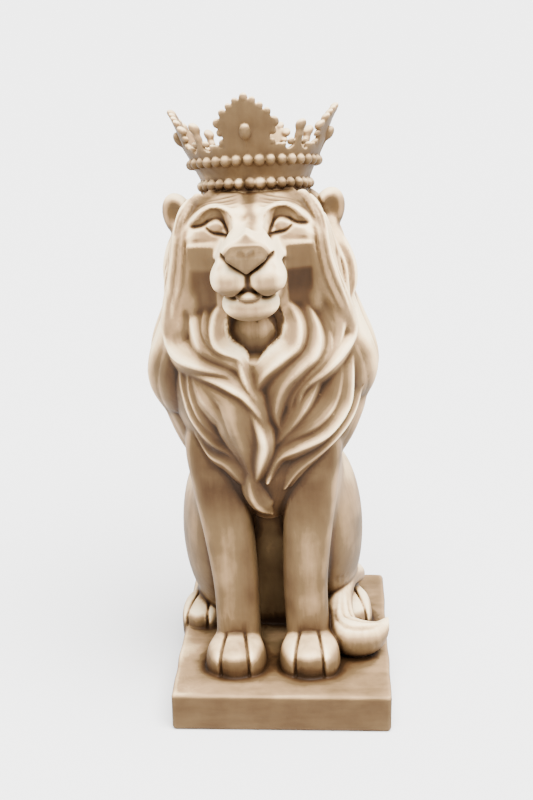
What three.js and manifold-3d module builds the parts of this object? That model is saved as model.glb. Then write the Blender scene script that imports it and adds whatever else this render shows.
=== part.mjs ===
// A seated lion in a crown on a rectangular plinth, cast as one piece.
// Millimetres, +Z up, the lion looks along -Y, and the origin is the middle of the plinth's underside.
import * as THREE from 'three';
import { LoftGeometry } from 'three/addons/geometries/LoftGeometry.js';
import { mergeVertices } from 'three/addons/utils/BufferGeometryUtils.js';
import Module from 'manifold-3d';

const wasm = await Module();
wasm.setup();

// Driving dimensions: the plinth
const PLINTH = { width: 118, depth: 146, height: 21.5, cornerRadius: 4.5, edgeRadius: 1.5 };

// The figure stands a little to the left of the plinth's middle and leans that way
const FIGURE = { offset: -4.3, leanDegrees: 1.9 };

// Levels of the trunk: height, half width, front and back
const TRUNK = [
  [14, 34, 8, 62],
  [45, 37, 3, 64],
  [80, 39, -7, 60],
  [115, 40, -22, 51],
  [150, 42, -34, 42],
  [185, 40, -38, 36],
  [215, 36, -34, 33],
  [240, 30, -26, 30],
];

// Levels of the mane's body, under its locks: height, half width, front and back
const MANE = [
  [110, 24, -36, 18],
  [130, 37, -46, 30],
  [155, 47, -53, 38],
  [185, 53, -56, 42],
  [215, 47, -52, 44],
  [240, 41, -42, 42],
  [262, 37, -36, 37],
  [284, 30, -26, 32],
];

// Levels of one front leg: height, middle in x and y, half width and half depth
const FRONT_LEG = [
  [14, 19.6, -24, 13, 14],
  [40, 19.3, -24, 12.2, 13],
  [64, 19.2, -23.5, 12.4, 13],
  [95, 21.5, -22.5, 13.6, 14],
  [124, 24.5, -21, 15, 16.5],
  [150, 27, -18, 15.5, 19],
  [172, 27, -12, 12, 16],
];

const FRONT_PAW = { x: 20.3, heelY: -14, length: 42, halfWidth: 17.5, height: 20, toes: 3, retreat: 5 };
const HAUNCH = { x: 30, y: 21, z: 80, radii: [20.5, 39, 52], tiltDegrees: 13 };
const HIND_FOOT = {
  x: 36, heelY: 44, length: 46, halfWidth: 12.5, height: 17, toes: 3, retreat: 4, splayDegrees: 14,
};

// The tail comes round the right haunch, over the hind foot, and hooks outwards in a tuft
const TAIL = {
  path: [
    [4, 58, 42], [26, 62, 33], [43, 55, 33], [48, 40, 38], [44, 22, 41],
    [37, 5, 37], [34, -12, 31], [38, -26, 29], [48, -30, 30], [57, -27, 29], [61, -20, 28],
  ],
  radius: 6,
  tuftRadius: 9.5,
  tipRadius: 1.5,
};

// Rounded forms of the head: middle and radii, with those off the middle plane given for the right side
const HEAD = {
  skull: [[0, -6, 264], [33, 37, 28]],
  hollow: [[0, -52, 251], [31, 30, 27]],
  jaw: [[0, -40, 240], [15.5, 22, 13]],
  chin: [[0, -58, 235], [14.5, 14, 9]],
  lip: [[8.8, -66, 249.5], [9.6, 12.6, 9.4]],
  eye: [[16, -45, 270], [6.2, 4.2, 4]],
  ear: [[40, -6, 270], [8.5, 6, 13]],
  earHollow: [[41.5, -12, 270.5], [5.6, 6, 9.5]],
  earTurnDegrees: 24,
  brow: [[9, -52, 272], [11.5, -52, 278], [19, -51, 281], [27, -46, 277.5], [31, -39, 273.5]],
};

// Square forms of the face drawn out forwards: y, middle height, half width and half height
const FACE = {
  cheeks: [[-8, 268, 31, 11], [-38, 267, 30.5, 10], [-46, 266, 28, 8.5]],
  muzzle: [[-30, 255, 17.5, 13], [-62, 254, 17.5, 12], [-71, 253, 16, 10.5]],
  bridge: [[-34, 275, 10, 8], [-53, 266.5, 9.5, 6], [-75, 262, 12, 4.5]],
  nose: [[-62, 259.5, 11, 6], [-77, 259, 12.5, 5], [-80, 258, 9.5, 3.5]],
};

const CROWN = {
  y: 4,
  z: 282.5,
  tiltBackDegrees: 11.5,
  ringRadius: 28.5,
  upperRingRadius: 33.5,
  upperRingHeight: 11.5,
  wall: 3.4,
  floorHeight: 3,
  valleyHeight: 19,
  peakHeight: 41.5,
  sidePeakHeight: 38,
  smallPeakHeight: 30,
  peakRadius: 47,
  leafHalfDegrees: 20,
  beads: 36,
  beadRadius: 2.7,
};

// Locks that show in front, each a curve over the mane's body from root to tip. Angles are degrees
// round the body from the front, heights are millimetres, and two handles shape the curve between.
const FRONT_LOCKS = [
  { root: [-60, 284], handles: [[-50, 258], [-70, 242]], tip: [-58, 222], width: 15, rise: 7 },
  { root: [-58, 250], handles: [[-66, 206], [-50, 188]], tip: [-4, 187], width: 15, rise: 8 },
  { root: [-47, 256], handles: [[-54, 222], [-40, 200]], tip: [-12, 195], width: 12, rise: 6 },
  { root: [-30, 229], handles: [[-38, 208], [-22, 202]], tip: [-3, 194], width: 11, rise: 6 },
  { root: [-52, 197], handles: [[-46, 178], [-34, 166]], tip: [-18, 157], width: 17, rise: 7 },
  { root: [-30, 194], handles: [[-12, 188], [-9, 160]], tip: [-9, 132], width: 17, rise: 9 },
  { root: [-56, 176], handles: [[-44, 150], [-20, 162]], tip: [-18, 126], width: 12, rise: 6 },
  { root: [58, 284], handles: [[42, 254], [62, 234]], tip: [54, 202], width: 14, rise: 7 },
  { root: [22, 231], handles: [[34, 206], [-10, 206]], tip: [1, 178], width: 11, rise: 7 },
  { root: [38, 240], handles: [[56, 196], [-4, 194]], tip: [10, 162], width: 14, rise: 7 },
  { root: [52, 222], handles: [[54, 196], [18, 194]], tip: [21, 166], width: 12, rise: 7 },
  { root: [63, 212], handles: [[48, 170], [4, 162]], tip: [1, 130], width: 18, rise: 9 },
  { root: [62, 192], handles: [[64, 160], [42, 150]], tip: [18, 126], width: 15, rise: 7 },
  { root: [-12, 132], handles: [[-16, 120], [-8, 112]], tip: [6, 109], width: 10, rise: 6 },
];

// Tiers of broad locks round the sides and back, from the lowest up: bottom and top heights, how far
// they stand out, how far their tips hang down, and where round the body the first lock lies
const MANE_TIERS = [
  { bottom: 126, top: 164, bulge: 5, hang: 8, first: 0 },
  { bottom: 166, top: 214, bulge: 10, hang: 10, first: 0.5 },
  { bottom: 220, top: 274, bulge: 9, hang: 9, first: 0 },
];
const TIER_LOCKS = 9;
const TIER_FRONT_DEGREES = [58, 82];

const IVORY = 0xd9c3a5;

const radians = THREE.MathUtils.degToRad;
const point = (x, y, z) => new THREE.Vector3(x, y, z);

// A geometry as a closed solid, with its shared vertices merged and faces of no area left out
function solidOf(geometry) {
  const bare = new THREE.BufferGeometry().setAttribute('position', geometry.getAttribute('position'));
  bare.setIndex(geometry.index);
  const merged = mergeVertices(bare, 1e-4);
  const corners = merged.index.array;
  const faces = [];
  for (let i = 0; i < corners.length; i += 3) {
    const face = [corners[i], corners[i + 1], corners[i + 2]];
    if (new Set(face).size === 3) faces.push(...face);
  }
  return new wasm.Manifold(new wasm.Mesh({
    numProp: 3,
    vertProperties: merged.attributes.position.array,
    triVerts: new Uint32Array(faces),
  }));
}

// A solid's faces as a geometry
function geometryOf(solid) {
  const mesh = solid.getMesh();
  const geometry = new THREE.BufferGeometry();
  geometry.setAttribute('position', new THREE.BufferAttribute(mesh.vertProperties, 3));
  geometry.setIndex(new THREE.BufferAttribute(mesh.triVerts, 1));
  geometry.computeVertexNormals();
  return geometry;
}

const join = (solids) => solids.reduce((sum, next) => sum.add(next));

// The same solids again on the other side of the figure's middle plane
const bothSides = (make) => [-1, 1].map(make);

// A ring of points about a middle: a superellipse, round at power 2 and squarer above it
function ring(middle, across, along, halfWidth, halfHeight, sides, power = 2) {
  const rounded = (v) => Math.sign(v) * Math.abs(v) ** (2 / power);
  return Array.from({ length: sides }, (_, i) => {
    const angle = (i / sides) * 2 * Math.PI;
    return middle.clone()
      .addScaledVector(across, halfWidth * rounded(Math.cos(angle)))
      .addScaledVector(along, halfHeight * rounded(Math.sin(angle)));
  });
}

const loft = (sections) => solidOf(new LoftGeometry(sections, { capStart: true, capEnd: true }));

// A stack of level rings, each given as height, half width, front and back
function levelLoft(levels, sides, power) {
  return loft(levels.map(([z, halfWidth, front, back]) => {
    const middle = point(0, (front + back) / 2, z);
    return ring(middle, point(1, 0, 0), point(0, 1, 0), halfWidth, (back - front) / 2, sides, power);
  }));
}

function ellipsoid(middle, radii, turn = [0, 0, 0], detail = [12, 7]) {
  const geometry = new THREE.SphereGeometry(1, ...detail);
  geometry.scale(...radii);
  const euler = new THREE.Euler(...turn.map(radians));
  geometry.applyMatrix4(new THREE.Matrix4().makeRotationFromEuler(euler));
  geometry.translate(...middle);
  return solidOf(geometry);
}

// A tube along a path: halfWidth lies across the path, halfHeight along the outward direction
function sweep(path, outwards, halfWidths, halfHeights, sides) {
  return loft(path.map((middle, i) => {
    const ahead = path[Math.min(i + 1, path.length - 1)];
    const behind = path[Math.max(i - 1, 0)];
    const tangent = ahead.clone().sub(behind).normalize();
    const across = outwards[i].clone().cross(tangent).normalize();
    const up = tangent.clone().cross(across);
    return ring(middle, across, up, halfWidths[i], halfHeights[i], sides);
  }));
}

// A smooth tube of changing radius through a few points
function tube(points, radiusAt, steps, sides) {
  const curve = new THREE.CatmullRomCurve3(points.map((p) => point(...p)));
  const shares = Array.from({ length: steps + 1 }, (_, i) => i / steps);
  const radii = shares.map(radiusAt);
  const path = shares.map((share) => curve.getPointAt(share));
  return sweep(path, shares.map(() => point(0.1, 0.2, 1)), radii, radii, sides);
}

// The mane's body

// Half width, front and back of the mane's body at a height
function maneLevel(z) {
  const above = MANE.findIndex((level) => level[0] > z);
  if (above === 0) return MANE[0].slice(1);
  if (above === -1) return MANE.at(-1).slice(1);
  const [low, high] = [MANE[above - 1], MANE[above]];
  const share = (z - low[0]) / (high[0] - low[0]);
  return [1, 2, 3].map((i) => THREE.MathUtils.lerp(low[i], high[i], share));
}

// A point on the mane's body, by angle from the front and height
function manePoint(degrees, z) {
  const [halfWidth, front, back] = maneLevel(z);
  const angle = radians(degrees);
  return point(
    halfWidth * Math.sin(angle),
    (front + back) / 2 - ((back - front) / 2) * Math.cos(angle),
    z,
  );
}

// The way out of the mane's body there
function maneOutward(degrees, z) {
  const [halfWidth, front, back] = maneLevel(z);
  const angle = radians(degrees);
  return point(Math.sin(angle) / halfWidth, -Math.cos(angle) / ((back - front) / 2), 0).normalize();
}

// One lock: thin at the root, fullest at two fifths of its length, pointed at the tip
function lock({ root, handles, tip, width, rise }, steps = 7, sides = 5) {
  const knots = [root, ...handles, tip].map(([degrees, z]) => new THREE.Vector2(degrees, z));
  const course = new THREE.CubicBezierCurve(...knots);
  const shares = Array.from({ length: steps + 1 }, (_, i) => i / steps);
  const places = shares.map((t) => course.getPoint(t));
  const fullness = shares.map((t) => 0.16 + 0.84 * Math.sin(Math.PI * t ** 0.75) ** 0.7 * (1 - 0.25 * t));
  return sweep(
    places.map((p) => manePoint(p.x, p.y)),
    places.map((p) => maneOutward(p.x, p.y)),
    fullness.map((f) => (width / 2) * f),
    fullness.map((f) => rise * f),
    sides,
  );
}

// The mane's body as a stack of rings, stepped in under each tier and rippled into its locks
function maneBody() {
  const sides = TIER_LOCKS * 4;
  const angles = Array.from({ length: sides }, (_, i) => (360 * i) / sides);
  const [frontEnd, sideStart] = TIER_FRONT_DEGREES;
  const level = (heightAt, standAt) => angles.map((degrees) => {
    const fromFront = Math.min(degrees, 360 - degrees);
    const aside = THREE.MathUtils.smoothstep(fromFront, frontEnd, sideStart);
    const z = heightAt(degrees, aside);
    return manePoint(degrees, z).addScaledVector(maneOutward(degrees, z), standAt(degrees) * aside);
  });
  const plain = (z) => level(() => z, () => 0);
  const tiers = MANE_TIERS.flatMap(({ bottom, top, bulge, hang, first }) => {
    const phase = (degrees) => Math.PI * ((degrees / 360) * TIER_LOCKS + first);
    const fullness = (degrees) => Math.abs(Math.cos(phase(degrees))) ** 0.6;
    const tip = (degrees, aside) => bottom + hang * (1 - fullness(degrees)) * aside;
    return [
      level(tip, () => 0),
      level(
        (degrees, aside) => tip(degrees, aside) + (top - bottom) * 0.3,
        (degrees) => bulge * (0.4 + 0.6 * fullness(degrees)),
      ),
      level(() => bottom + (top - bottom) * 0.72, (degrees) => bulge * (0.45 + 0.4 * fullness(degrees))),
    ];
  });
  return loft([plain(MANE[0][0]), ...tiers, plain(MANE.at(-1)[0])]);
}

function maneSolids() {
  return [maneBody(), ...FRONT_LOCKS.map((shape) => lock(shape))];
}

// The trunk and limbs

function frontLeg(side) {
  return loft(FRONT_LEG.map(([z, x, y, halfWidth, halfDepth]) =>
    ring(point(side * x, y, z), point(1, 0, 0), point(0, 1, 0), halfWidth, halfDepth, 10, 2.8)));
}

// A paw as one loft from heel to toes. Grooves between the toes deepen towards the front, the middle
// toe reaches furthest, and the whole is turned about its heel and set down at a place.
function paw({ length, halfWidth, height, toes, retreat }, place, turnDegrees) {
  const partsPerToe = 3;
  const stations = [[0, 0.9], [0.35, 1], [0.66, 0.98], [0.86, 0.82], [0.97, 0.55], [1, 0.2]];
  const shares = Array.from({ length: toes * partsPerToe + 1 }, (_, i) => 1 - (2 * i) / (toes * partsPerToe));
  const groove = (u) => Math.abs(Math.sin(((u + 1) / 2) * toes * Math.PI)) ** 0.5;
  const seat = new THREE.Matrix4().makeRotationZ(radians(turnDegrees)).setPosition(...place);
  return loft(stations.map(([share, rise]) => {
    const spread = 0.86 + 0.14 * Math.sin(Math.PI * Math.min(share, 0.85) / 1.2);
    const depth = THREE.MathUtils.smoothstep(share, 0.2, 0.8) * 0.3;
    const section = shares.map((u) => {
      const open = 1 - depth + depth * groove(u);
      const dome = (1 - Math.abs(u) ** 3.2 * 0.75) * rise * height * open;
      const reach = length - retreat * u * u - 4 * (1 - groove(u)) * share;
      return point(u * halfWidth * spread, -share * reach, dome);
    });
    const underside = (u) => point(u * halfWidth * spread, -share * (length - retreat), -4);
    return [underside(1), ...section, underside(-1)].map((p) => p.applyMatrix4(seat));
  }));
}

const frontPaw = (side) => paw(FRONT_PAW, [side * FRONT_PAW.x, FRONT_PAW.heelY, PLINTH.height], 0);

const hindFoot = (side) => paw(
  HIND_FOOT,
  [side * HIND_FOOT.x, HIND_FOOT.heelY, PLINTH.height],
  side * HIND_FOOT.splayDegrees,
);

function haunch(side) {
  const { x, y, z, radii, tiltDegrees } = HAUNCH;
  return ellipsoid([side * x, y, z], radii, [-tiltDegrees, 0, 0], [14, 9]);
}

function tail() {
  const { path, radius, tuftRadius, tipRadius } = TAIL;
  const tuftStart = 0.62;
  const tuftMiddle = 0.84;
  const radiusAt = (t) => {
    if (t < tuftStart) return radius;
    if (t < tuftMiddle) {
      return THREE.MathUtils.lerp(radius, tuftRadius, THREE.MathUtils.smoothstep(t, tuftStart, tuftMiddle));
    }
    return THREE.MathUtils.lerp(tuftRadius, tipRadius, ((t - tuftMiddle) / (1 - tuftMiddle)) ** 2);
  };
  return tube(path, radiusAt, 17, 7);
}

function bodySolids() {
  return [
    levelLoft(TRUNK, 14, 2.3),
    ...bothSides(frontLeg),
    ...bothSides(frontPaw),
    ...bothSides(haunch),
    ...bothSides(hindFoot),
    tail(),
  ];
}

// The head

// A block drawn out along -Y through sections of y, middle height, half width and half height
const forwardLoft = (sections, sides, power) => loft(sections.map(([y, z, halfWidth, halfHeight]) =>
  ring(point(0, y, z), point(1, 0, 0), point(0, 0, 1), halfWidth, halfHeight, sides, power)));

// One of the head's rounded forms, on the given side
function headForm(name, side, turnDegrees, detail) {
  const [[x, y, z], radii] = HEAD[name];
  return ellipsoid([side * x, y, z], radii, [0, side * turnDegrees, side * turnDegrees], detail);
}

function ear(side) {
  const shell = headForm('ear', side, HEAD.earTurnDegrees, [10, 6]);
  return shell.subtract(headForm('earHollow', side, HEAD.earTurnDegrees, [8, 5]));
}

function brow(side) {
  const path = HEAD.brow.map(([x, y, z]) => [side * x, y, z]);
  return tube(path, (share) => 3 + 2.2 * Math.sin(Math.PI * share), 6, 6);
}

function headSolids() {
  return [
    headForm('skull', 1, 0, [14, 9]),
    headForm('jaw', 1, 0, [10, 6]),
    headForm('chin', 1, 0, [10, 6]),
    forwardLoft(FACE.cheeks, 16, 4),
    forwardLoft(FACE.muzzle, 12, 3.6),
    forwardLoft(FACE.bridge, 10, 3),
    forwardLoft(FACE.nose, 10, 2.6),
    ...bothSides((side) => headForm('lip', side, 0, [10, 6])),
    ...bothSides((side) => headForm('eye', side, 0, [8, 5])),
    ...bothSides(brow),
    ...bothSides(ear),
  ];
}

// The crown, on its own axis before it is tilted back

// Radius of the crown's outside at a height above its lower ring
function crownRadius(height) {
  const { ringRadius, upperRingRadius, upperRingHeight, peakHeight, peakRadius } = CROWN;
  if (height < upperRingHeight) {
    return THREE.MathUtils.lerp(ringRadius, upperRingRadius, height / upperRingHeight);
  }
  const share = (height - upperRingHeight) / (peakHeight - upperRingHeight);
  return THREE.MathUtils.lerp(upperRingRadius, peakRadius, share ** 1.25);
}

// Height of the crown's edge round the ring: four leaf points, with a small point between each two
function crownEdge(degrees) {
  const { valleyHeight, peakHeight, sidePeakHeight, smallPeakHeight, leafHalfDegrees } = CROWN;
  const leaf = Math.round(degrees / 90);
  const fromLeaf = Math.abs(degrees - leaf * 90);
  const leafHeight = leaf % 4 === 0 ? peakHeight : sidePeakHeight;
  if (fromLeaf <= leafHalfDegrees) {
    const shoulder = valleyHeight + (leafHeight - valleyHeight) * 0.6;
    return THREE.MathUtils.lerp(leafHeight, shoulder, (fromLeaf / leafHalfDegrees) ** 1.2);
  }
  return fromLeaf > 44 ? smallPeakHeight : valleyHeight;
}

// The crown's wall and floor: one profile to each step round, with beads standing out at every other step
function crownWall() {
  const { upperRingHeight, floorHeight, wall, beads, beadRadius } = CROWN;
  const columns = beads * 2;
  const sections = Array.from({ length: columns + 1 }, (_, i) => {
    const degrees = (i / columns) * 360;
    const angle = radians(degrees);
    const edge = crownEdge(degrees);
    const stand = i % 2 ? 0.6 : beadRadius;
    const at = (height, offset) => {
      const radius = crownRadius(Math.max(height, 0)) + offset;
      return point(radius * Math.sin(angle), -radius * Math.cos(angle), height);
    };
    const beadRow = (height) => [at(height - beadRadius, 0), at(height, stand), at(height + beadRadius, 0)];
    return [
      point(0, 0, -10),
      point(0, 0, floorHeight + 2),
      at(floorHeight, -wall),
      at(upperRingHeight, -wall),
      at(edge, -wall),
      at(edge, 0),
      ...beadRow(upperRingHeight).reverse(),
      ...beadRow(0).reverse(),
    ];
  });
  return solidOf(new LoftGeometry(sections));
}

// A pear-shaped drop on each leaf point
function leafDrop(index) {
  const angle = (index * Math.PI) / 2;
  const place = (height, out) => {
    const radius = crownRadius(height) + out;
    return [radius * Math.sin(angle), -radius * Math.cos(angle), height];
  };
  return ellipsoid(place(27, 0.8), [3.8, 3.8, 5], [0, 0, 0], [6, 5]);
}

function crown() {
  const solid = join([crownWall(), ...[0, 1, 2, 3].map(leafDrop)]);
  return solid.rotate([-CROWN.tiltBackDegrees, 0, 0]).translate([0, CROWN.y, CROWN.z]);
}

// The whole casting

function plinth() {
  const { width, depth, height, cornerRadius, edgeRadius } = PLINTH;
  const [halfX, halfY] = [width / 2 - edgeRadius, depth / 2 - edgeRadius];
  const outline = new THREE.Shape();
  [[1, -1, -90], [1, 1, 0], [-1, 1, 90], [-1, -1, 180]].forEach(([sx, sy, start]) => outline.absarc(
    sx * (halfX - cornerRadius),
    sy * (halfY - cornerRadius),
    cornerRadius,
    radians(start),
    radians(start + 90),
    false,
  ));
  const geometry = new THREE.ExtrudeGeometry(outline, {
    depth: height - 2 * edgeRadius,
    bevelThickness: edgeRadius,
    bevelSize: edgeRadius,
    bevelSegments: 2,
    curveSegments: 3,
  });
  geometry.translate(0, 0, edgeRadius);
  return solidOf(geometry);
}

function figure() {
  const mane = join(maneSolids()).subtract(headForm('hollow', 1, 0, [14, 9]));
  const upright = join([...bodySolids(), mane, ...headSolids(), crown()]);
  return upright
    .translate([0, 0, -PLINTH.height])
    .rotate([0, -FIGURE.leanDegrees, 0])
    .translate([FIGURE.offset, 0, PLINTH.height]);
}

const casting = new THREE.Mesh(
  geometryOf(plinth().add(figure())),
  new THREE.MeshStandardMaterial({ color: IVORY, roughness: 0.55, metalness: 0 }),
);
casting.name = 'crowned_lion';

const sculpture = new THREE.Group();
sculpture.add(casting);

export default sculpture;
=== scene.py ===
"""Crowned lion sculpture: a seated lion in an open crown, cast in ivory resin with its plinth.

The casting is worked out as one volume of clay: every form is a distance worked out over whole arrays of
points, and the forms are added to and cut from the volume with soft joints. The mane is a relief over two
parameters, the angle round the neck and the height. Lengths are millimetres until the mesh is made; x runs
to the right, y to the back and z up.
"""
from __future__ import annotations

import logging
import math
from dataclasses import dataclass, field
from enum import Enum
from typing import Protocol, Sequence

import bpy
import numpy as np
import openvdb
from mathutils import Matrix

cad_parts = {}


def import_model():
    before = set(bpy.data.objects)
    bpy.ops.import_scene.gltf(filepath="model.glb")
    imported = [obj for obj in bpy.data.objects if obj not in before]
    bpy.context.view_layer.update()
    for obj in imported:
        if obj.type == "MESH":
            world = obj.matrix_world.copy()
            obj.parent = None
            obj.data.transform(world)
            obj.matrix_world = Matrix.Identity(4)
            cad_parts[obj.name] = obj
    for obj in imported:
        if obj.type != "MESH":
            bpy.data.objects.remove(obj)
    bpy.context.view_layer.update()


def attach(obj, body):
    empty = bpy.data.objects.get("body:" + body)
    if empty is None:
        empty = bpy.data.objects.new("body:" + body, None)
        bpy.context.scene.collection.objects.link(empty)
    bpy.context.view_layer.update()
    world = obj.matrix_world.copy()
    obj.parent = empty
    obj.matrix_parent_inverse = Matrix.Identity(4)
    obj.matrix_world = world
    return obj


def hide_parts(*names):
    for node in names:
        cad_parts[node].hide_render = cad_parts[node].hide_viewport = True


LOG = logging.getLogger("crowned_lion")
MM = 0.001
FAR = 12.0
PLINTH_TOP = 21.5
BODY_MIDDLE = -1.0
HEAD_MIDDLE = -1.3
LINE_STEPS = 24
Array = np.ndarray
Point = tuple[float, float, float]
Flat = tuple[float, float]
Corners = tuple[Sequence[float], Sequence[float]]


def soft_min(a: Array, b: Array, blend: float) -> Array:
    """Lesser of two distances, rounded where they are within a blend width of each other.

    Args:
        a: First distances.
        b: Second distances.
        blend: Width of the rounding.

    Returns:
        The rounded lesser distances: b + (a - b) h - blend h (1 - h), with h a ramp from 0 to 1.
    """
    ramp = np.clip(0.5 + 0.5 * (b - a) / blend, 0.0, 1.0)
    return b + (a - b) * ramp - blend * ramp * (1.0 - ramp)


def soft_max(a: Array, b: Array, blend: float) -> Array:
    """Greater of two distances, rounded in the same way."""
    return -soft_min(-a, -b, blend)


def smooth_step(value: Array, start: float, end: float) -> Array:
    """Ramp from 0 at start to 1 at end that is level at both ends; it falls where end is below start."""
    share = np.clip((value - start) / (end - start), 0.0, 1.0)
    return share * share * (3.0 - 2.0 * share)


def smooth_curve(knots: Sequence[float], values: Sequence[float], at: Array) -> Array:
    """Smooth curve through values at knots.

    Args:
        knots: Rising parameter values.
        values: Value at each knot.
        at: Where to read the curve; it is level beyond both ends.

    Returns:
        Cubic pieces whose slope at a knot is the mean slope between that knot's neighbours.
    """
    t = np.asarray(knots, np.float32)
    v = np.asarray(values, np.float32)
    slope = np.gradient(v, t).astype(np.float32)
    x = np.clip(at, t[0], t[-1])
    i = np.clip(np.searchsorted(t, x, side="right") - 1, 0, len(t) - 2)
    span = t[i + 1] - t[i]
    u = (x - t[i]) / span
    u2, u3 = u * u, u * u * u
    start = (2 * u3 - 3 * u2 + 1) * v[i] + (u3 - 2 * u2 + u) * span * slope[i]
    return start + (3 * u2 - 2 * u3) * v[i + 1] + (u3 - u2) * span * slope[i + 1]


def through(points: Sequence[Sequence[float]], steps: int) -> Array:
    """Points along a smooth curve.

    Args:
        points: Points that the curve runs through.
        steps: How many points to make.

    Returns:
        Points evenly spaced in the curve's parameter, which grows by one from each given point to the next.
    """
    p = np.asarray(points, np.float32)
    knots = np.arange(len(p), dtype=np.float32)
    at = np.linspace(0.0, len(p) - 1.0, steps, dtype=np.float32)
    return np.stack([smooth_curve(knots, column, at) for column in p.T], axis=1)


def nearest_stretch(path: Array, u: Array, v: Array, scale: Array) -> tuple[Array, Array, Array]:
    """Nearest stretch of a flat path to each place.

    Args:
        path: Points along the path.
        u: First coordinate of the places.
        v: Second coordinate of the places.
        scale: Length of one unit of u at each point of the path.

    Returns:
        Squared distance from the path, share of the way along it, and the side of it as 1 or -1.
    """
    best = np.full(np.broadcast_shapes(u.shape, v.shape), 1e6, np.float32)
    along = np.zeros_like(best)
    side = np.zeros_like(best)
    last = len(path) - 1
    for i in range(last):
        du = (u - path[i, 0]) * scale[i]
        dv = v - path[i, 1]
        way_u = (path[i + 1, 0] - path[i, 0]) * scale[i]
        way_v = path[i + 1, 1] - path[i, 1]
        length = max(float(way_u * way_u + way_v * way_v), 1e-9)
        share = np.clip((du * way_u + dv * way_v) / length, 0.0, 1.0)
        off_u, off_v = du - share * way_u, dv - share * way_v
        gap = off_u * off_u + off_v * off_v
        near = gap < best
        best = np.where(near, gap, best)
        along = np.where(near, (i + share) / last, along)
        side = np.where(near, np.sign(way_u * off_v - way_v * off_u), side)
    return best, along, side


def running_mean(values: Array, axis: int, reach: int, beyond: str) -> Array:
    """Mean of the cells near each cell along one axis.

    Args:
        values: The cells.
        axis: Axis to run along.
        reach: Cells taken in on each side.
        beyond: What numpy's pad puts past the ends.

    Returns:
        Difference of two running sums divided by the count of cells between them.
    """
    pad = [(0, 0)] * values.ndim
    pad[axis] = (reach + 1, reach)
    run = np.cumsum(np.pad(values, pad, mode=beyond), axis=axis, dtype=np.float64)
    run = np.moveaxis(run, axis, 0)
    size = 2 * reach + 1
    return np.moveaxis((run[size:] - run[:-size]) / size, 0, axis).astype(np.float32)


def turned(x: Array, y: Array, degrees: float) -> tuple[Array, Array]:
    """Two coordinates seen from a frame that is turned by an angle in their plane."""
    c, s = math.cos(math.radians(degrees)), math.sin(math.radians(degrees))
    return c * x + s * y, c * y - s * x


def folded(at: Sequence[Array], paired: bool) -> Sequence[Array]:
    """Coordinates, with the left side folded onto the right where a form stands on both sides."""
    return (np.abs(at[0]), at[1], at[2]) if paired else at


def corners(low: Sequence[float], high: Sequence[float], paired: bool) -> Corners:
    """Corners of a box, widened to both sides of the middle plane where a form is paired."""
    return ((-high[0], *low[1:]) if paired else low), high


class Form(Protocol):
    """A shape that knows the box it lies in and how far points are from its surface."""

    def reach(self) -> Corners:
        """Lowest and highest corners of the shape."""

    def distance(self, at: Sequence[Array]) -> Array:
        """Distance of points, given by their three coordinates, from the surface; negative inside."""


@dataclass(frozen=True)
class Ball:
    """Ellipsoid, turned by yaw, roll and pitch, on one side or on both sides of the middle plane.

    The distance is k (k - 1) / g, where k is the length of the point divided by the radii and g that of the
    point divided by the radii twice.
    """

    middle: Point
    radii: Point
    pitch: float = 0.0
    yaw: float = 0.0
    roll: float = 0.0
    paired: bool = False

    def reach(self) -> Corners:
        """Lowest and highest corners, those of a round ball where it is turned."""
        half = (max(self.radii),) * 3 if self.pitch or self.yaw or self.roll else self.radii
        return corners(np.subtract(self.middle, half), np.add(self.middle, half), self.paired)

    def distance(self, at: Sequence[Array]) -> Array:
        """Distance of points from the surface.

        Args:
            at: The points' three coordinates.

        Returns:
            Distances, negative inside.
        """
        x, y, z = (c - m for c, m in zip(folded(at, self.paired), self.middle))
        if self.yaw:
            x, y = turned(x, y, self.yaw)
        if self.roll:
            z, x = turned(z, x, self.roll)
        if self.pitch:
            y, z = turned(y, z, self.pitch)
        a, b, c = self.radii
        k = np.sqrt((x / a) ** 2 + (y / b) ** 2 + (z / c) ** 2)
        g = np.sqrt((x / a**2) ** 2 + (y / b**2) ** 2 + (z / c**2) ** 2)
        return k * (k - 1.0) / np.maximum(g, 1e-6)


@dataclass(frozen=True)
class Loaf:
    """Box with rounded edges."""

    middle: Point
    half: Point
    edge: float

    def reach(self) -> Corners:
        """Lowest and highest corners of the box."""
        return np.subtract(self.middle, self.half), np.add(self.middle, self.half)

    def distance(self, at: Sequence[Array]) -> Array:
        """Distance of points from the surface.

        Args:
            at: The points' three coordinates.

        Returns:
            Distances from the box drawn in by the edge's radius, less that radius.
        """
        x, y, z = (np.abs(c - m) - (h - self.edge) for c, m, h in zip(at, self.middle, self.half))
        outside = np.sqrt(sum(np.maximum(past, 0.0) ** 2 for past in (x, y, z)))
        return outside + np.minimum(np.maximum(np.maximum(x, y), z), 0.0) - self.edge


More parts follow.
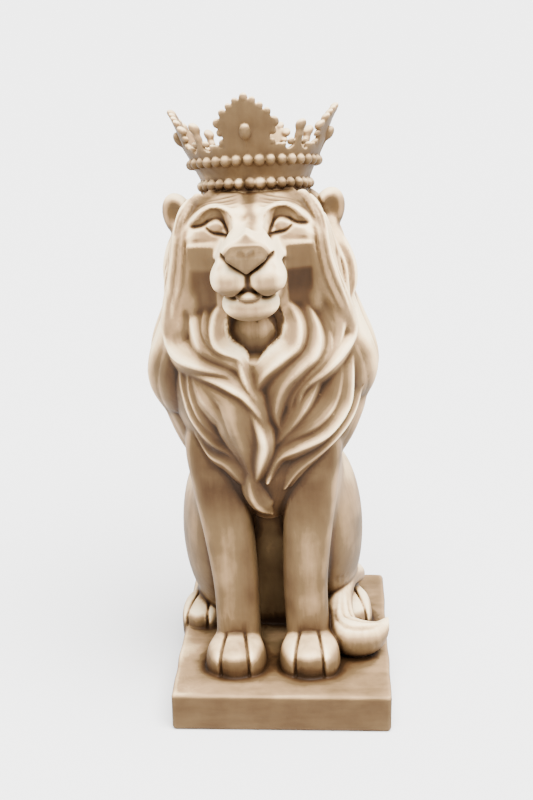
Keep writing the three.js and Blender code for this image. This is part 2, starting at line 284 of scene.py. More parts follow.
@dataclass(frozen=True)
class Cord:
    """Round form carried along a smooth path, with ribs that may twist round it.

    A point is a place and the radius there. A rib dips by the size of a sine of the turn about the path.
    """

    points: Sequence[Sequence[float]]
    steps: int = 22
    paired: bool = False
    ribs: int = 0
    rib_depth: float = 0.0
    twist: float = 0.0

    def reach(self) -> Corners:
        """Room that the cord takes.

        Returns:
            Lowest and highest corners.
        """
        path = through(self.points, self.steps)
        room = path[:, 3].max() + self.rib_depth
        return corners(path[:, :3].min(axis=0) - room, path[:, :3].max(axis=0) + room, self.paired)

    def distance(self, at: Sequence[Array]) -> Array:
        """Distance of points from the nearest stretch of the path, less the radius there.

        Args:
            at: The points' three coordinates.

        Returns:
            Distances, negative inside.
        """
        x, y, z = folded(at, self.paired)
        path = through(self.points, self.steps)
        radii = path[:, 3]
        best = np.full(np.broadcast_shapes(x.shape, y.shape, z.shape), 1e3, np.float32)
        last = self.steps - 1
        for i in range(last):
            way = path[i + 1, :3] - path[i, :3]
            from_start = [c - p for c, p in zip((x, y, z), path[i])]
            share = sum(c * w for c, w in zip(from_start, way)) / float(way @ way)
            share = np.clip(share, 0.0, 1.0)
            ex, ey, ez = (c - share * w for c, w in zip(from_start, way))
            radius = radii[i] + share * (radii[i + 1] - radii[i])
            gap = np.sqrt(ex * ex + ey * ey + ez * ez) - radius
            if self.ribs:
                turn = np.arctan2(ez, np.hypot(ex, ey) * np.sign(ex * way[1] - ey * way[0] + 1e-6))
                swell = np.minimum(radius / radii.max(), 1.0)
                wave = np.sin(0.5 * (self.ribs * turn + self.twist * (i + share) / last))
                gap += self.rib_depth * swell * np.abs(wave)
            np.minimum(best, gap, out=best)
        return best


@dataclass(frozen=True)
class Stack:
    """Form with a rounded-square section at each level, and smooth curves between the levels.

    A level is height, middle in x, half width, front and back. The distance is measured along the line
    from the level's middle.
    """

    levels: Sequence[Sequence[float]]
    power: float = 2.0
    paired: bool = False

    def reach(self) -> Corners:
        """Room that the levels take.

        Returns:
            Lowest and highest corners.
        """
        height, middle, half, front, back = np.asarray(self.levels, np.float32).T
        low = ((middle - half).min(), front.min(), height[0])
        return corners(low, ((middle + half).max(), back.max(), height[-1]), self.paired)

    def distance(self, at: Sequence[Array]) -> Array:
        """Distance of points from the surface.

        Args:
            at: The points' three coordinates.

        Returns:
            Distances, negative inside.
        """
        x, y, z = folded(at, self.paired)
        height, *sizes = np.asarray(self.levels, np.float32).T
        middle, half, front, back = (smooth_curve(height, size, z) for size in sizes)
        x = x - middle
        y = y - 0.5 * (front + back)
        p = self.power
        ratio = ((np.abs(x) / half) ** p + (np.abs(y) / (0.5 * (back - front))) ** p) ** (1.0 / p)
        side = np.hypot(x, y) * (1.0 - 1.0 / np.maximum(ratio, 0.05))
        ends = np.maximum(height[0] - z, z - height[-1])
        return soft_max(side.astype(np.float32), ends.astype(np.float32), 2.0)


@dataclass(frozen=True)
class Facets:
    """Solid on both sides of the middle plane, between flat faces with softened edges.

    A face is a point on it and the way it looks.
    """

    faces: Sequence[tuple[Point, Point]]
    low: Point
    high: Point
    soft: float

    def reach(self) -> Corners:
        """Lowest and highest corners of the room that the solid may take."""
        return self.low, self.high

    def distance(self, at: Sequence[Array]) -> Array:
        """Greatest of the distances in front of the faces, rounded where two are near each other.

        Args:
            at: The points' three coordinates.

        Returns:
            Distances, negative inside.
        """
        at = folded(at, True)
        total = None
        for point, way in self.faces:
            size = math.hypot(*way)
            gap = sum(w / size * (c - p) for w, c, p in zip(way, at, point))
            total = gap if total is None else soft_max(total, gap, self.soft)
        return total


class Along(Enum):
    """Axis that a drawn line is carried along, and the two axes it is drawn on."""

    DEPTH = (1, 0, 2)
    HEIGHT = (2, 0, 1)
    SIDE = (0, 1, 2)


@dataclass(frozen=True)
class Line:
    """Line drawn on two axes and carried along the third, that sinks the surface it crosses.

    The depth falls off across the line as a bell curve of its width, and fades to nothing at both ends.
    """

    points: Sequence[Flat]
    start: float
    end: float
    width: float
    depth: float
    along: Along = Along.DEPTH
    paired: bool = True
    fade: float = 0.15
    ink: float = 0.0
    run_out: float = 1.5

    def reach(self) -> Corners:
        """Room that the line is carried through.

        Returns:
            Lowest and highest corners.
        """
        drawn = np.asarray(self.points, np.float32)
        carried, *drawn_on = self.along.value
        low, high = np.zeros(3), np.zeros(3)
        low[carried], high[carried] = self.start, self.end
        low[drawn_on], high[drawn_on] = drawn.min(axis=0), drawn.max(axis=0)
        return corners(low, high, self.paired)

    def strength(self, at: Sequence[Array]) -> Array:
        """Share of the line's depth and wash at points.

        Args:
            at: The points' three coordinates.

        Returns:
            Shares from 0 away from the line to 1 in it.
        """
        at = folded(at, self.paired)
        carried, first, second = (at[axis] for axis in self.along.value)
        path = through(self.points, LINE_STEPS)
        gap, share, _ = nearest_stretch(path, first, second, np.ones(LINE_STEPS, np.float32))
        ends = smooth_step(share, 0.0, self.fade) * smooth_step(share, 1.0, 1.0 - self.fade)
        within = smooth_step(carried, self.start - self.run_out, self.start)
        within = within * smooth_step(carried, self.end + self.run_out, self.end)
        return np.exp(-gap / self.width**2) * ends * within


@dataclass
class Clay:
    """Volume of points on an even grid, each holding its distance from the surface so far.

    Forms are placed about the plane at middle, which the body and the head each set for themselves.
    """

    pitch: float
    low: Point = (-74, -92, -5)
    high: Point = (74, 80, 338)
    middle: float = 0.0
    axes: list[Array] = field(init=False)
    values: Array = field(init=False)
    ink: Array = field(init=False)

    def __post_init__(self) -> None:
        """Lay out the grid, empty, and a second grid for the wash, and the painted shade under the brows,
        drawn into lines.
        """
        self.axes = [np.arange(a, b, self.pitch, dtype=np.float32) for a, b in zip(self.low, self.high)]
        self.values = np.full([len(a) for a in self.axes], FAR, np.float32)
        self.ink = np.zeros_like(self.values)

    def block(self, room: Corners, margin: float) -> tuple[tuple[slice, ...], list[Array]]:
        """Part of the grid that a box covers.

        Args:
            room: Lowest and highest corners of the box.
            margin: Width added all round.

        Returns:
            The slices of the grid and the three coordinates, shaped to spread over the block.
        """
        cuts = []
        for axis, low, high, move in zip(self.axes, *room, (self.middle, 0.0, 0.0)):
            start, end = np.searchsorted(axis, (low + move - margin, high + move + margin))
            cuts.append(slice(int(start), int(end)))
        x, y, z = (axis[cut] for axis, cut in zip(self.axes, cuts))
        return tuple(cuts), [x[:, None, None] - np.float32(self.middle), y[None, :, None], z[None, None, :]]

    def add(self, form: Form, blend: float) -> None:
        """Join a form to the clay with a soft joint.

        Args:
            form: The form to add.
            blend: Width of the joint.
        """
        cuts, at = self.block(form.reach(), blend + 5.0)
        gap = np.minimum(form.distance(at), FAR).astype(np.float32)
        self.values[cuts] = soft_min(self.values[cuts], gap, blend)

    def cut(self, form: Form, blend: float) -> None:
        """Take a form away from the clay with a soft edge."""
        cuts, at = self.block(form.reach(), blend + 3.0)
        self.values[cuts] = soft_max(self.values[cuts], -form.distance(at).astype(np.float32), blend)

    def engrave(self, *lines: Line) -> None:
        """Sink the surface along lines and leave wash in them.

        Args:
            lines: The lines, in the order they are drawn.
        """
        for line in lines:
            cuts, at = self.block(line.reach(), 3.0 * line.width)
            bell = line.strength(at).astype(np.float32)
            self.values[cuts] += line.depth * bell
            self.ink[cuts] = np.maximum(self.ink[cuts], line.ink * bell)

    def solidity(self, radius: float) -> Array:
        """Share of clay in the space about each point of the grid.

        Args:
            radius: Half width of the space.

        Returns:
            Running mean along each axis, taken twice, of how full each cell is.
        """
        full = np.clip(0.5 - self.values / self.pitch, 0.0, 1.0)
        reach = max(1, round(radius / self.pitch / math.sqrt(2.0)))
        for axis in (0, 1, 2, 0, 1, 2):
            full = running_mean(full, axis, reach, "edge")
        return full

    def read(self, grid: Array, points: Array) -> Array:
        """Values of a grid at points.

        Args:
            grid: Values on this volume's points.
            points: Where to read them.

        Returns:
            Values mixed from the eight cells about each point.
        """
        at = (points - np.asarray(self.low, np.float32)) / self.pitch
        at = np.clip(at, 0, np.asarray(grid.shape) - 1.001)
        cell = at.astype(np.int32)
        share = (at - cell).astype(np.float32)
        total = np.zeros(len(points), np.float32)
        for corner in range(8):
            step = np.array([corner & 1, corner >> 1 & 1, corner >> 2 & 1])
            weight = np.prod(np.where(step, share, 1.0 - share), axis=1)
            i, j, k = (cell + step).T
            total += weight * grid[i, j, k]
        return total


@dataclass(frozen=True)
class Lock:
    """One lock of the mane: a curve over angle and height, its width and how far it stands out.

    The crest runs from a sharp ridge with hollow flanks at 0 to a round back at 1.
    """

    path: Sequence[Flat]
    width: float
    rise: float
    crest: float = 0.25
    floor: float = 0.0
    strands: int = 3


@dataclass(frozen=True)
class Tier:
    """A row of broad locks round the sides and back, from one side of the face to the other.

    A lock is a wave of sideways share and downward share, and its length and width vary as sines do.
    """

    start: float
    count: int
    root: float
    tip: float
    width: float
    rise: float
    sway: float
    wave: Sequence[Flat] = ((-1.0, 0.0), (0.5, 0.3), (0.2, 0.55), (-0.6, 0.8), (0.3, 1.0))

    def locks(self) -> list[Lock]:
        """Locks of the row.

        Returns:
            The locks in order round the mane.
        """
        locks = []
        for i in range(self.count):
            angle = self.start + (360.0 - 2.0 * self.start) * i / (self.count - 1)
            bend = self.sway if angle < 180.0 else -self.sway
            fall = self.tip + 7.0 * math.cos(2.4 * i + self.root) - self.root
            wide = self.width * (1.0 + 0.14 * math.sin(1.7 * i + self.tip))
            path = [(angle + aside * bend, self.root + down * fall) for aside, down in self.wave]
            locks.append(Lock(path, wide, self.rise, crest=0.6, strands=4))
        return locks


@dataclass
class Mane:
    """The mane: a body of oval levels with a relief of locks over angle and height.

    A level is height, half width, front and back. The relief is the greatest of the locks at each place,
    and a lock is a profile carried along its curve.
    """

    levels: Sequence[Sequence[float]] = (
        (104, 10, -27, 6), (114, 19, -34, 14), (130, 32, -42, 28), (155, 45, -51, 38), (185, 53, -56, 42),
        (215, 47, -52, 44), (240, 41, -42, 42), (260, 37, -36, 38), (271, 33, -31, 36), (278, 25, -23, 31),
        (285, 13, -10, 20),
    )
    tiers: Sequence[Tier] = (
        Tier(82.0, 10, 190.0, 120.0, 24.0, 7.5, 8.0),
        Tier(80.0, 12, 240.0, 152.0, 25.0, 11.5, -9.0),
        Tier(94.0, 10, 286.0, 208.0, 23.0, 9.0, 8.0),
    )
    front_locks: Sequence[Lock] = (
        Lock(((-72, 280), (-87, 264), (-82, 248), (-91, 231), (-84, 214), (-78, 199)), 19, 8, 0.5),
        Lock(((-34, 287), (-43, 275), (-40, 262), (-46, 248), (-46, 236), (-56, 220)), 20, 11, 0.4),
        Lock(((-52, 282), (-67, 264), (-66, 248), (-62, 235), (-59, 222), (-57, 208), (-48, 202),
              (-32, 199), (-17, 196), (-8, 189)), 17, 9.5, 0.3),
        Lock(((-46, 246), (-44, 236), (-43, 223), (-37, 212), (-28, 206), (-14, 201), (-5, 194)), 14, 4.8),
        Lock(((-34, 240), (-34, 222), (-30, 213), (-20, 206), (-9, 200)), 10, 3.8),
        Lock(((-20, 236), (-26, 225), (-26, 215), (-21, 209), (-10, 205), (-5, 196)), 9, 5.4),
        Lock(((-52, 198), (-45, 180), (-41, 168), (-33, 157), (-21, 149), (-17, 129)), 12, 5.2),
        Lock(((-44, 197), (-39, 181), (-34, 167), (-22, 155)), 11, 4.4),
        Lock(((-44, 195), (-23, 193), (-10, 188), (-4, 182), (1, 171), (5, 156)), 12, 7.5),
        Lock(((-32, 190), (-17, 181), (-13, 168), (-11, 152), (-10, 132)), 20, 8.5, 0.6),
        Lock(((-9, 186), (-1, 168), (1, 156), (-3, 142), (-9, 131)), 11, 8.5),
        Lock(((-40, 193), (-29, 182), (-19, 170), (-15, 153)), 16, 6, 0.6),
        Lock(((-48, 157), (-39, 148), (-27, 144), (-21, 135), (-17, 125)), 13, 5.4, 0.4),
        Lock(((-12, 140), (-13, 123), (-7, 114), (8, 109)), 11, 7, 0.5),
        Lock(((34, 287), (43, 275), (40, 262), (46, 248), (46, 236), (57, 220)), 20, 11, 0.4),
        Lock(((50, 282), (63, 265), (58, 248), (62, 233), (63, 220), (62, 209), (51, 202), (36, 194),
              (24, 187), (20, 174)), 16, 9.5, 0.3),
        Lock(((16, 238), (25, 225), (26, 217), (22, 209), (12, 203), (3, 196), (-1, 188), (0, 176)), 11, 5.6),
        Lock(((28, 240), (37, 222), (38, 212), (33, 204), (23, 198), (14, 191), (10, 183), (9, 173),
              (13, 162)), 13, 5.6),
        Lock(((36, 236), (45, 218), (46, 208), (39, 200), (26, 192), (19, 184), (16, 172)), 10, 4.2),
        Lock(((34, 254), (43, 240), (51, 226), (54, 213), (47, 204), (36, 198)), 15, 8, 0.4),
        Lock(((-35, 252), (-43, 240), (-50, 226), (-52, 213), (-46, 205)), 14, 7.5, 0.4),
        Lock(((66, 280), (80, 262), (74, 243), (90, 223), (80, 206)), 20, 9, 0.5),
        Lock(((68, 214), (56, 189), (51, 172), (40, 160), (22, 154), (10, 148), (2, 132)), 15, 9, 0.35),
        Lock(((74, 200), (67, 174), (57, 160), (41, 149), (27, 139), (19, 127)), 14, 7, 0.3),
        Lock(((54, 200), (43, 177), (32, 167), (19, 161), (9, 154)), 16, 6, 0.5),
        Lock(((38, 198), (28, 183), (21, 172), (13, 162), (5, 153)), 10, 4.6),
        Lock(((60, 180), (48, 157), (36, 144), (25, 128)), 11, 4.6),
        Lock(((-11, 206), (-6, 192), (-1, 182), (3, 172)), 8, 5.5),
        Lock(((-9, 224), (-8, 212), (-3, 200)), 15, 3.0, 1.0, -6.5, 1),
        Lock(((5, 222), (5, 212), (-1, 200)), 10, 2.6, 1.0, -6.5, 1),
        Lock(((13, 229), (20, 220), (17, 210), (8, 203)), 6, 5, 0.3, -6.0),
    )
    throat_depth: float = 7.0
    columns: int = 1200
    row_height: float = 0.3
    angle: Array = field(init=False)
    height: Array = field(init=False)
    relief: Array = field(init=False)
    across: Array = field(init=False)
    along: Array = field(init=False)

    def __post_init__(self) -> None:
        """Lay out the relief, sink the throat and carve every lock, those of the sides and back first."""
        self.angle = np.linspace(-180.0, 180.0, self.columns, endpoint=False, dtype=np.float32)
        self.height = np.arange(self.levels[0][0], self.levels[-1][0], self.row_height, dtype=np.float32)
        a, z = np.meshgrid(self.angle, self.height, indexing="ij")
        throat = smooth_step(np.hypot(a / 24.0, (z - 219.0) / 18.0), 1.0, 0.65)
        self.relief = (-self.throat_depth * throat).astype(np.float32)
        self.across, self.along = 0.8 * a, z.copy()
        for tier in self.tiers:
            self.lay(*tier.locks())
        self.lay(*self.front_locks)

    def level(self, z: Array) -> tuple[Array, Array, Array]:
        """Half width, front and back of the mane's body at heights."""
        height, *sizes = np.asarray(self.levels, np.float32).T
        return tuple(smooth_curve(height, size, z) for size in sizes)

    def lay(self, *locks: Lock) -> None:
        """Carve locks into the relief, each in the patch that it covers.

        Args:
            locks: The locks, in the order they are laid.
        """
        for lock in locks:
            path = through(lock.path, 12 * len(lock.path))
            half, front, back = self.level(path[:, 1])
            bend = np.radians(path[:, 0])
            scale = np.radians(1.0) * np.hypot(half * np.cos(bend), 0.5 * (back - front) * np.sin(bend))
            low, high = path[:, 1].min() - lock.width, path[:, 1].max() + lock.width
            rows = np.nonzero((self.height > low) & (self.height < high))[0]
            middle = 0.5 * (path[:, 0].min() + path[:, 0].max())
            spread = 0.5 * np.ptp(path[:, 0]) + lock.width / scale.min()
            aside = (self.angle - middle + 180.0) % 360.0 - 180.0
            cols = np.nonzero(np.abs(aside) < spread)[0]
            place = (aside[cols] + middle)[:, None], self.height[rows][None, :]
            gap, along, side = nearest_stretch(path, *place, scale)
            offset = side * np.sqrt(gap)
            bump = self.profile(lock, along, offset)
            patch = np.ix_(cols, rows)
            over = bump > self.relief[patch]
            self.across[patch] = np.where(over, offset + 3.7 * lock.path[0][0], self.across[patch])
            self.along[patch] = np.where(over, along * np.ptp(path[:, 1]), self.along[patch])
            self.relief[patch] = soft_max(self.relief[patch], bump, 1.0)

    @staticmethod
    def profile(lock: Lock, along: Array, offset: Array) -> Array:
        """Height of a lock above the mane's body.

        It is the lock's rise, swelling and thinning along its length, times a rounded profile of the offset
        over the half width, with shallow grooves between its strands.

        Args:
            lock: The lock.
            along: Share of the way along it.
            offset: Distance across it from its crest.

        Returns:
            Heights, far below the body beside the lock.
        """
        thin = smooth_step(along, -0.25, 0.35) * (1.0 - smooth_step(along, 0.55, 1.08)) ** 0.8
        v = offset / (0.66 * lock.width * np.clip(thin, 0.1, 1.0))
        ridge = np.clip(1.08 - np.sqrt(v**2 + 0.0064), 0.0, 1.0) ** 1.5
        round_back = np.clip(1.0 - v**2, 0.0, 1.0) ** 0.75
        section = ridge + lock.crest * (round_back - ridge)
        groove = np.abs(np.sin(0.5 * np.pi * lock.strands * (v + 1.0))) ** 0.7
        strand = 1.0 - 0.1 * (1.0 - groove) * smooth_step(along, 0.02, 0.2)
        lift = smooth_step(along, -0.2, 0.4) * (1.0 - 0.7 * smooth_step(along, 0.5, 1.0))
        height = lock.floor + 0.88 * lock.rise * lift * section * strand
        return np.where(np.abs(v) < 1.0, height, -20.0).astype(np.float32)

    def read(self, chart: Array, bend: Array, z: Array) -> Array:
        """Values of a chart over angle and height.

        Args:
            chart: Values on the relief's grid.
            bend: Angles round the mane.
            z: Heights.

        Returns:
            Values mixed from the four places about each point.
        """
        col = (np.degrees(bend) + 180.0) * (self.columns / 360.0)
        row = np.clip((z - self.height[0]) / self.row_height, 0, len(self.height) - 1.001)
        row = np.broadcast_to(row, col.shape)
        i, j = col.astype(np.int32), row.astype(np.int32)
        u, v = col - i, row - j
        i, k = i % self.columns, (i + 1) % self.columns
        low = chart[i, j] * (1 - v) + chart[i, j + 1] * v
        high = chart[k, j] * (1 - v) + chart[k, j + 1] * v
        return low * (1 - u) + high * u

    def troughs(self, points: Array, columns: int, rows: int) -> Array:
        """How far each point of the mane lies below the mean of the relief about it.

        Args:
            points: Points on the statue.
            columns: Columns of the relief on each side that the mean takes in.
            rows: Rows above and below that it takes in.

        Returns:
            Depth in millimetres, negative on a crest, and nothing away from the mane.
        """
        mean = self.relief
        for _ in range(2):
            mean = running_mean(running_mean(mean, 0, columns, "wrap"), 1, rows, "edge")
        bend, near = self.place(points)
        return near * self.read(mean - self.relief, bend, points[:, 2])

    def place(self, points: Array) -> tuple[Array, Array]:
        """Where points lie on the mane.

        Args:
            points: Points on the statue.

        Returns:
            Angle of each point round the mane, and whether it lies on the mane, from 0 to 1.
        """
        x, y, z = points.T
        half, front, back = self.level(z)
        bend = np.arctan2(x / half, (front + back - 2.0 * y) / (back - front))
        return bend, smooth_step(np.abs(self.distance(points.T)), 1.6, 0.5)

    def flow(self, points: Array) -> Array:
        """Place of each point of the mane across and along its lock, in millimetres.

        Args:
            points: Points on the statue.

        Returns:
            Place across, a tenth of the place along and nothing, for each point.
        """
        bend, _ = self.place(points)
        col = np.round((np.degrees(bend) + 180.0) * (self.columns / 360.0)).astype(np.int32) % self.columns
        row = np.round((points[:, 2] - self.height[0]) / self.row_height).astype(np.int32)
        row = np.clip(row, 0, len(self.height) - 1)
        return np.stack([self.across[col, row], 0.1 * self.along[col, row], np.zeros(len(points))], axis=1)

    def reach(self) -> Corners:
        """Room that the mane takes.

        Returns:
            Lowest and highest corners, with the greatest rise added to the body.
        """
        height, half, front, back = np.asarray(self.levels, np.float32).T
        rise = self.relief.max()
        wide = half.max() + rise
        return (-wide, front.min() - rise, height[0]), (wide, back.max() + rise, height[-1])

    def distance(self, at: Sequence[Array]) -> Array:
        """Distance of points from the body's oval, less the relief at their angle and height.

        Args:
            at: The points' three coordinates.

        Returns:
            Distances, negative inside, a little short because the relief is steep.
        """
        x, y, z = at
        half, front, back = self.level(z)
        deep = 0.5 * (back - front)
        px, py = x / half, (0.5 * (front + back) - y) / deep
        bend = np.arctan2(px, py)
        gap = (np.hypot(px, py) - 1.0) * np.hypot(half * np.sin(bend), deep * np.cos(bend))
        gap = 0.8 * (gap - self.read(self.relief, bend, z))
        ends = np.maximum(self.levels[0][0] - z, z - self.levels[-1][0])
        return soft_max(gap.astype(np.float32), np.broadcast_to(ends, gap.shape), 2.0)


@dataclass(frozen=True)
class Plinth:
    """Rectangular plinth with softened edges and a slightly uneven top, level under a leaning figure."""

    width: float = 118.0
    depth: float = 146.0
    height: float = PLINTH_TOP
    edge: float = 2.2
    offset: float = -4.3
    lean: float = 1.9

    def reach(self) -> Corners:
        """Lowest and highest corners, with room for the lean."""
        w, d = 0.5 * self.width + 6.0, 0.5 * self.depth
        return (-w, -d, -4.0), (w + 6.0, d, self.height + 4.0)

    def leant(self, x: Array, z: Array) -> tuple[Array, Array]:
        """Places to the right and up once the figure leans about the plinth's top."""
        right, up = turned(x, z - self.height, -self.lean)
        return self.offset + right, self.height + up

    def distance(self, at: Sequence[Array]) -> Array:
        """Distance of points from the rounded box, less the waves of its top.

        Args:
            at: The points' three coordinates, before the lean.

        Returns:
            Distances, negative inside.
        """
        x, z = self.leant(at[0], at[2])
        y = at[1]
        wave = 0.35 * np.sin(0.11 * x + 0.06 * y + 0.7) + 0.3 * np.sin(0.17 * y - 0.05 * x)
        wave = wave + 0.2 * np.sin(0.31 * x + 1.3) * np.sin(0.27 * y + 0.4)
        half = (0.5 * self.width, 0.5 * self.depth, 0.5 * self.height)
        box = Loaf((0.0, 0.0, half[2]), half, self.edge)
        return box.distance((x, y, z)) + 0.6 * smooth_step(z, 12.0, 21.0) * wave


@dataclass(frozen=True)
class Paw:
    """A domed paw on each side, whose front is parted into toes by slits.

    The dome is a cushion: the sum of its coordinates over its radii, each to a power, is 1.
    """

    heel: Point
    length: float
    half_width: float
    height: float
    splay: float = 0.0
    toes: int = 3

    def reach(self) -> Corners:
        """Room that the pair takes.

        Returns:
            Lowest and highest corners.
        """
        x, y, z = self.heel
        r = self.length + self.half_width
        return corners((x - r, y - r, z - 4.0), (x + r, y + 0.3 * r, z + self.height), True)

    def distance(self, at: Sequence[Array]) -> Array:
        """Distance of points from the dome, swollen at each toe and sunk at each slit.

        Args:
            at: The points' three coordinates.

        Returns:
            Distances, negative inside.
        """
        x, y, up = (c - h for c, h in zip(folded(at, True), self.heel))
        across, back = turned(x, y, self.splay)
        ahead = -back
        reach = 0.5 * self.length
        flare = 0.82 + 0.18 * smooth_step(ahead, 0.2 * self.length, 0.7 * self.length)
        px, py = across / (self.half_width * flare), (ahead - reach) / reach
        slope = self.height * (1.08 - 0.16 * smooth_step(ahead, 0.3 * self.length, self.length))
        k = ((px * px + np.abs(py) ** 2.4) ** 1.55 + (np.abs(up) / slope) ** 3.1) ** (1 / 3.1)
        away = np.sqrt(across * across + (ahead - reach) ** 2 + up * up)
        shape = (1.0 - 1.0 / np.maximum(k, 0.05)) * away
        shape = soft_max(shape, ahead - self.length + 2.4 + 0.02 * across * across, 2.0)
        spacing = 2.0 * self.half_width / self.toes
        fold = np.abs((across / spacing + 0.5) % 1.0 - 0.5)
        swell = 0.9 * smooth_step(ahead, 0.42 * self.length, 0.65 * self.length) * (1.0 - 4.0 * fold * fold)
        return shape - swell + self.slits(across, ahead, spacing)

    def slits(self, across: Array, ahead: Array, spacing: float) -> Array:
        """Depth of the slits between the toes, bell curves over the paw's front half that spread forwards.

        Args:
            across: Distance from the paw's middle line.
            ahead: Distance ahead of the heel.
            spacing: Width of a toe.

        Returns:
            Depths.
        """
        total = 0.0
        for i in range(self.toes - 1):
            place = i - 0.5 * (self.toes - 2)
            off = across - place * (1.12 * spacing + 0.3 * (ahead - 0.72 * self.length))
            total = total + np.exp(-(off / 0.7) ** 2)
        return 2.4 * total * smooth_step(ahead, 0.46 * self.length, 0.6 * self.length)


@dataclass(frozen=True)
class Body:
    """Trunk, haunches, legs, paws and tail."""

    trunk: Stack = Stack((
        (14, 0, 34, 8, 62), (45, 0, 37, 3, 64), (80, 0, 38, -7, 60), (115, 0, 39, -22, 51),
        (150, 0, 41, -34, 42), (185, 0, 40, -38, 36), (215, 0, 36, -34, 33), (240, 0, 30, -26, 30),
    ), 2.3)
    haunch: Ball = Ball((31, 21, 80), (21, 39, 52), pitch=13.0, paired=True)
    hind_foot: Ball = Ball((34, 34, 36), (14, 26, 17), paired=True)
    shoulder: Ball = Ball((27, -8, 128), (14, 20, 34), pitch=-8.0, paired=True)
    front_leg: Stack = Stack((
        (14, 19.6, 12.6, -37, -10), (40, 19.4, 12.0, -36.5, -11), (64, 19.2, 12.2, -36.5, -11),
        (95, 21.5, 13.4, -36.5, -8), (124, 24.5, 14.8, -37.5, -4), (150, 27, 15.0, -37, 1),
        (172, 27, 11.0, -28, 4),
    ), 3.6, paired=True)
    front_paw: Paw = Paw((20.4, -13, PLINTH_TOP), 44, 17.2, 17.0)
    hind_paw: Paw = Paw((36, 44, PLINTH_TOP), 46, 13, 15, splay=14)
    tail: Cord = Cord((
        (0, 44, 54, 8), (10, 59, 42, 6.6), (27, 63, 32, 6), (43, 55, 32, 6), (47, 38, 38, 6),
        (44, 20, 46, 6), (40, 6, 47, 6.4), (37.5, -8, 40, 7.6), (38.5, -20, 32, 10.0), (44, -27, 31, 11.0),
        (52.5, -26.5, 30, 9.4), (59.5, -21, 31, 5.6), (64, -13.5, 34, 1.4),
    ), 45, ribs=3, rib_depth=0.5, twist=3.0)
    tuft_strands: Sequence[Sequence[Flat]] = (
        ((38, -2), (36, -12), (35.5, -22), (40, -31), (48, -33), (56, -29), (62, -20)),
        ((40, 0), (39, -10), (39.5, -20), (44, -26.5), (51, -27), (58, -22), (63, -15)),
        ((42, -2), (42.5, -11), (44, -18), (48, -21.5), (53, -21), (58, -17)),
    )

    def model(self, clay: Clay) -> None:
        """Add the body's forms to the clay, from the trunk outwards.

        Args:
            clay: The volume that the forms are added to.
        """
        clay.middle = BODY_MIDDLE
        clay.add(self.trunk, 4.0)
        clay.add(self.haunch, 5.0)
        clay.add(self.hind_foot, 5.0)
        clay.add(self.shoulder, 7.0)
        clay.add(self.front_leg, 4.0)
        clay.add(self.front_paw, 2.0)
        clay.add(self.hind_paw, 2.0)
        clay.add(self.tail, 1.2)
        for path in self.tuft_strands:
            clay.engrave(Line(path, 26, 60, 0.9, 0.9, Along.HEIGHT, paired=False, fade=0.3, ink=0.12))
        clay.middle = 0.0


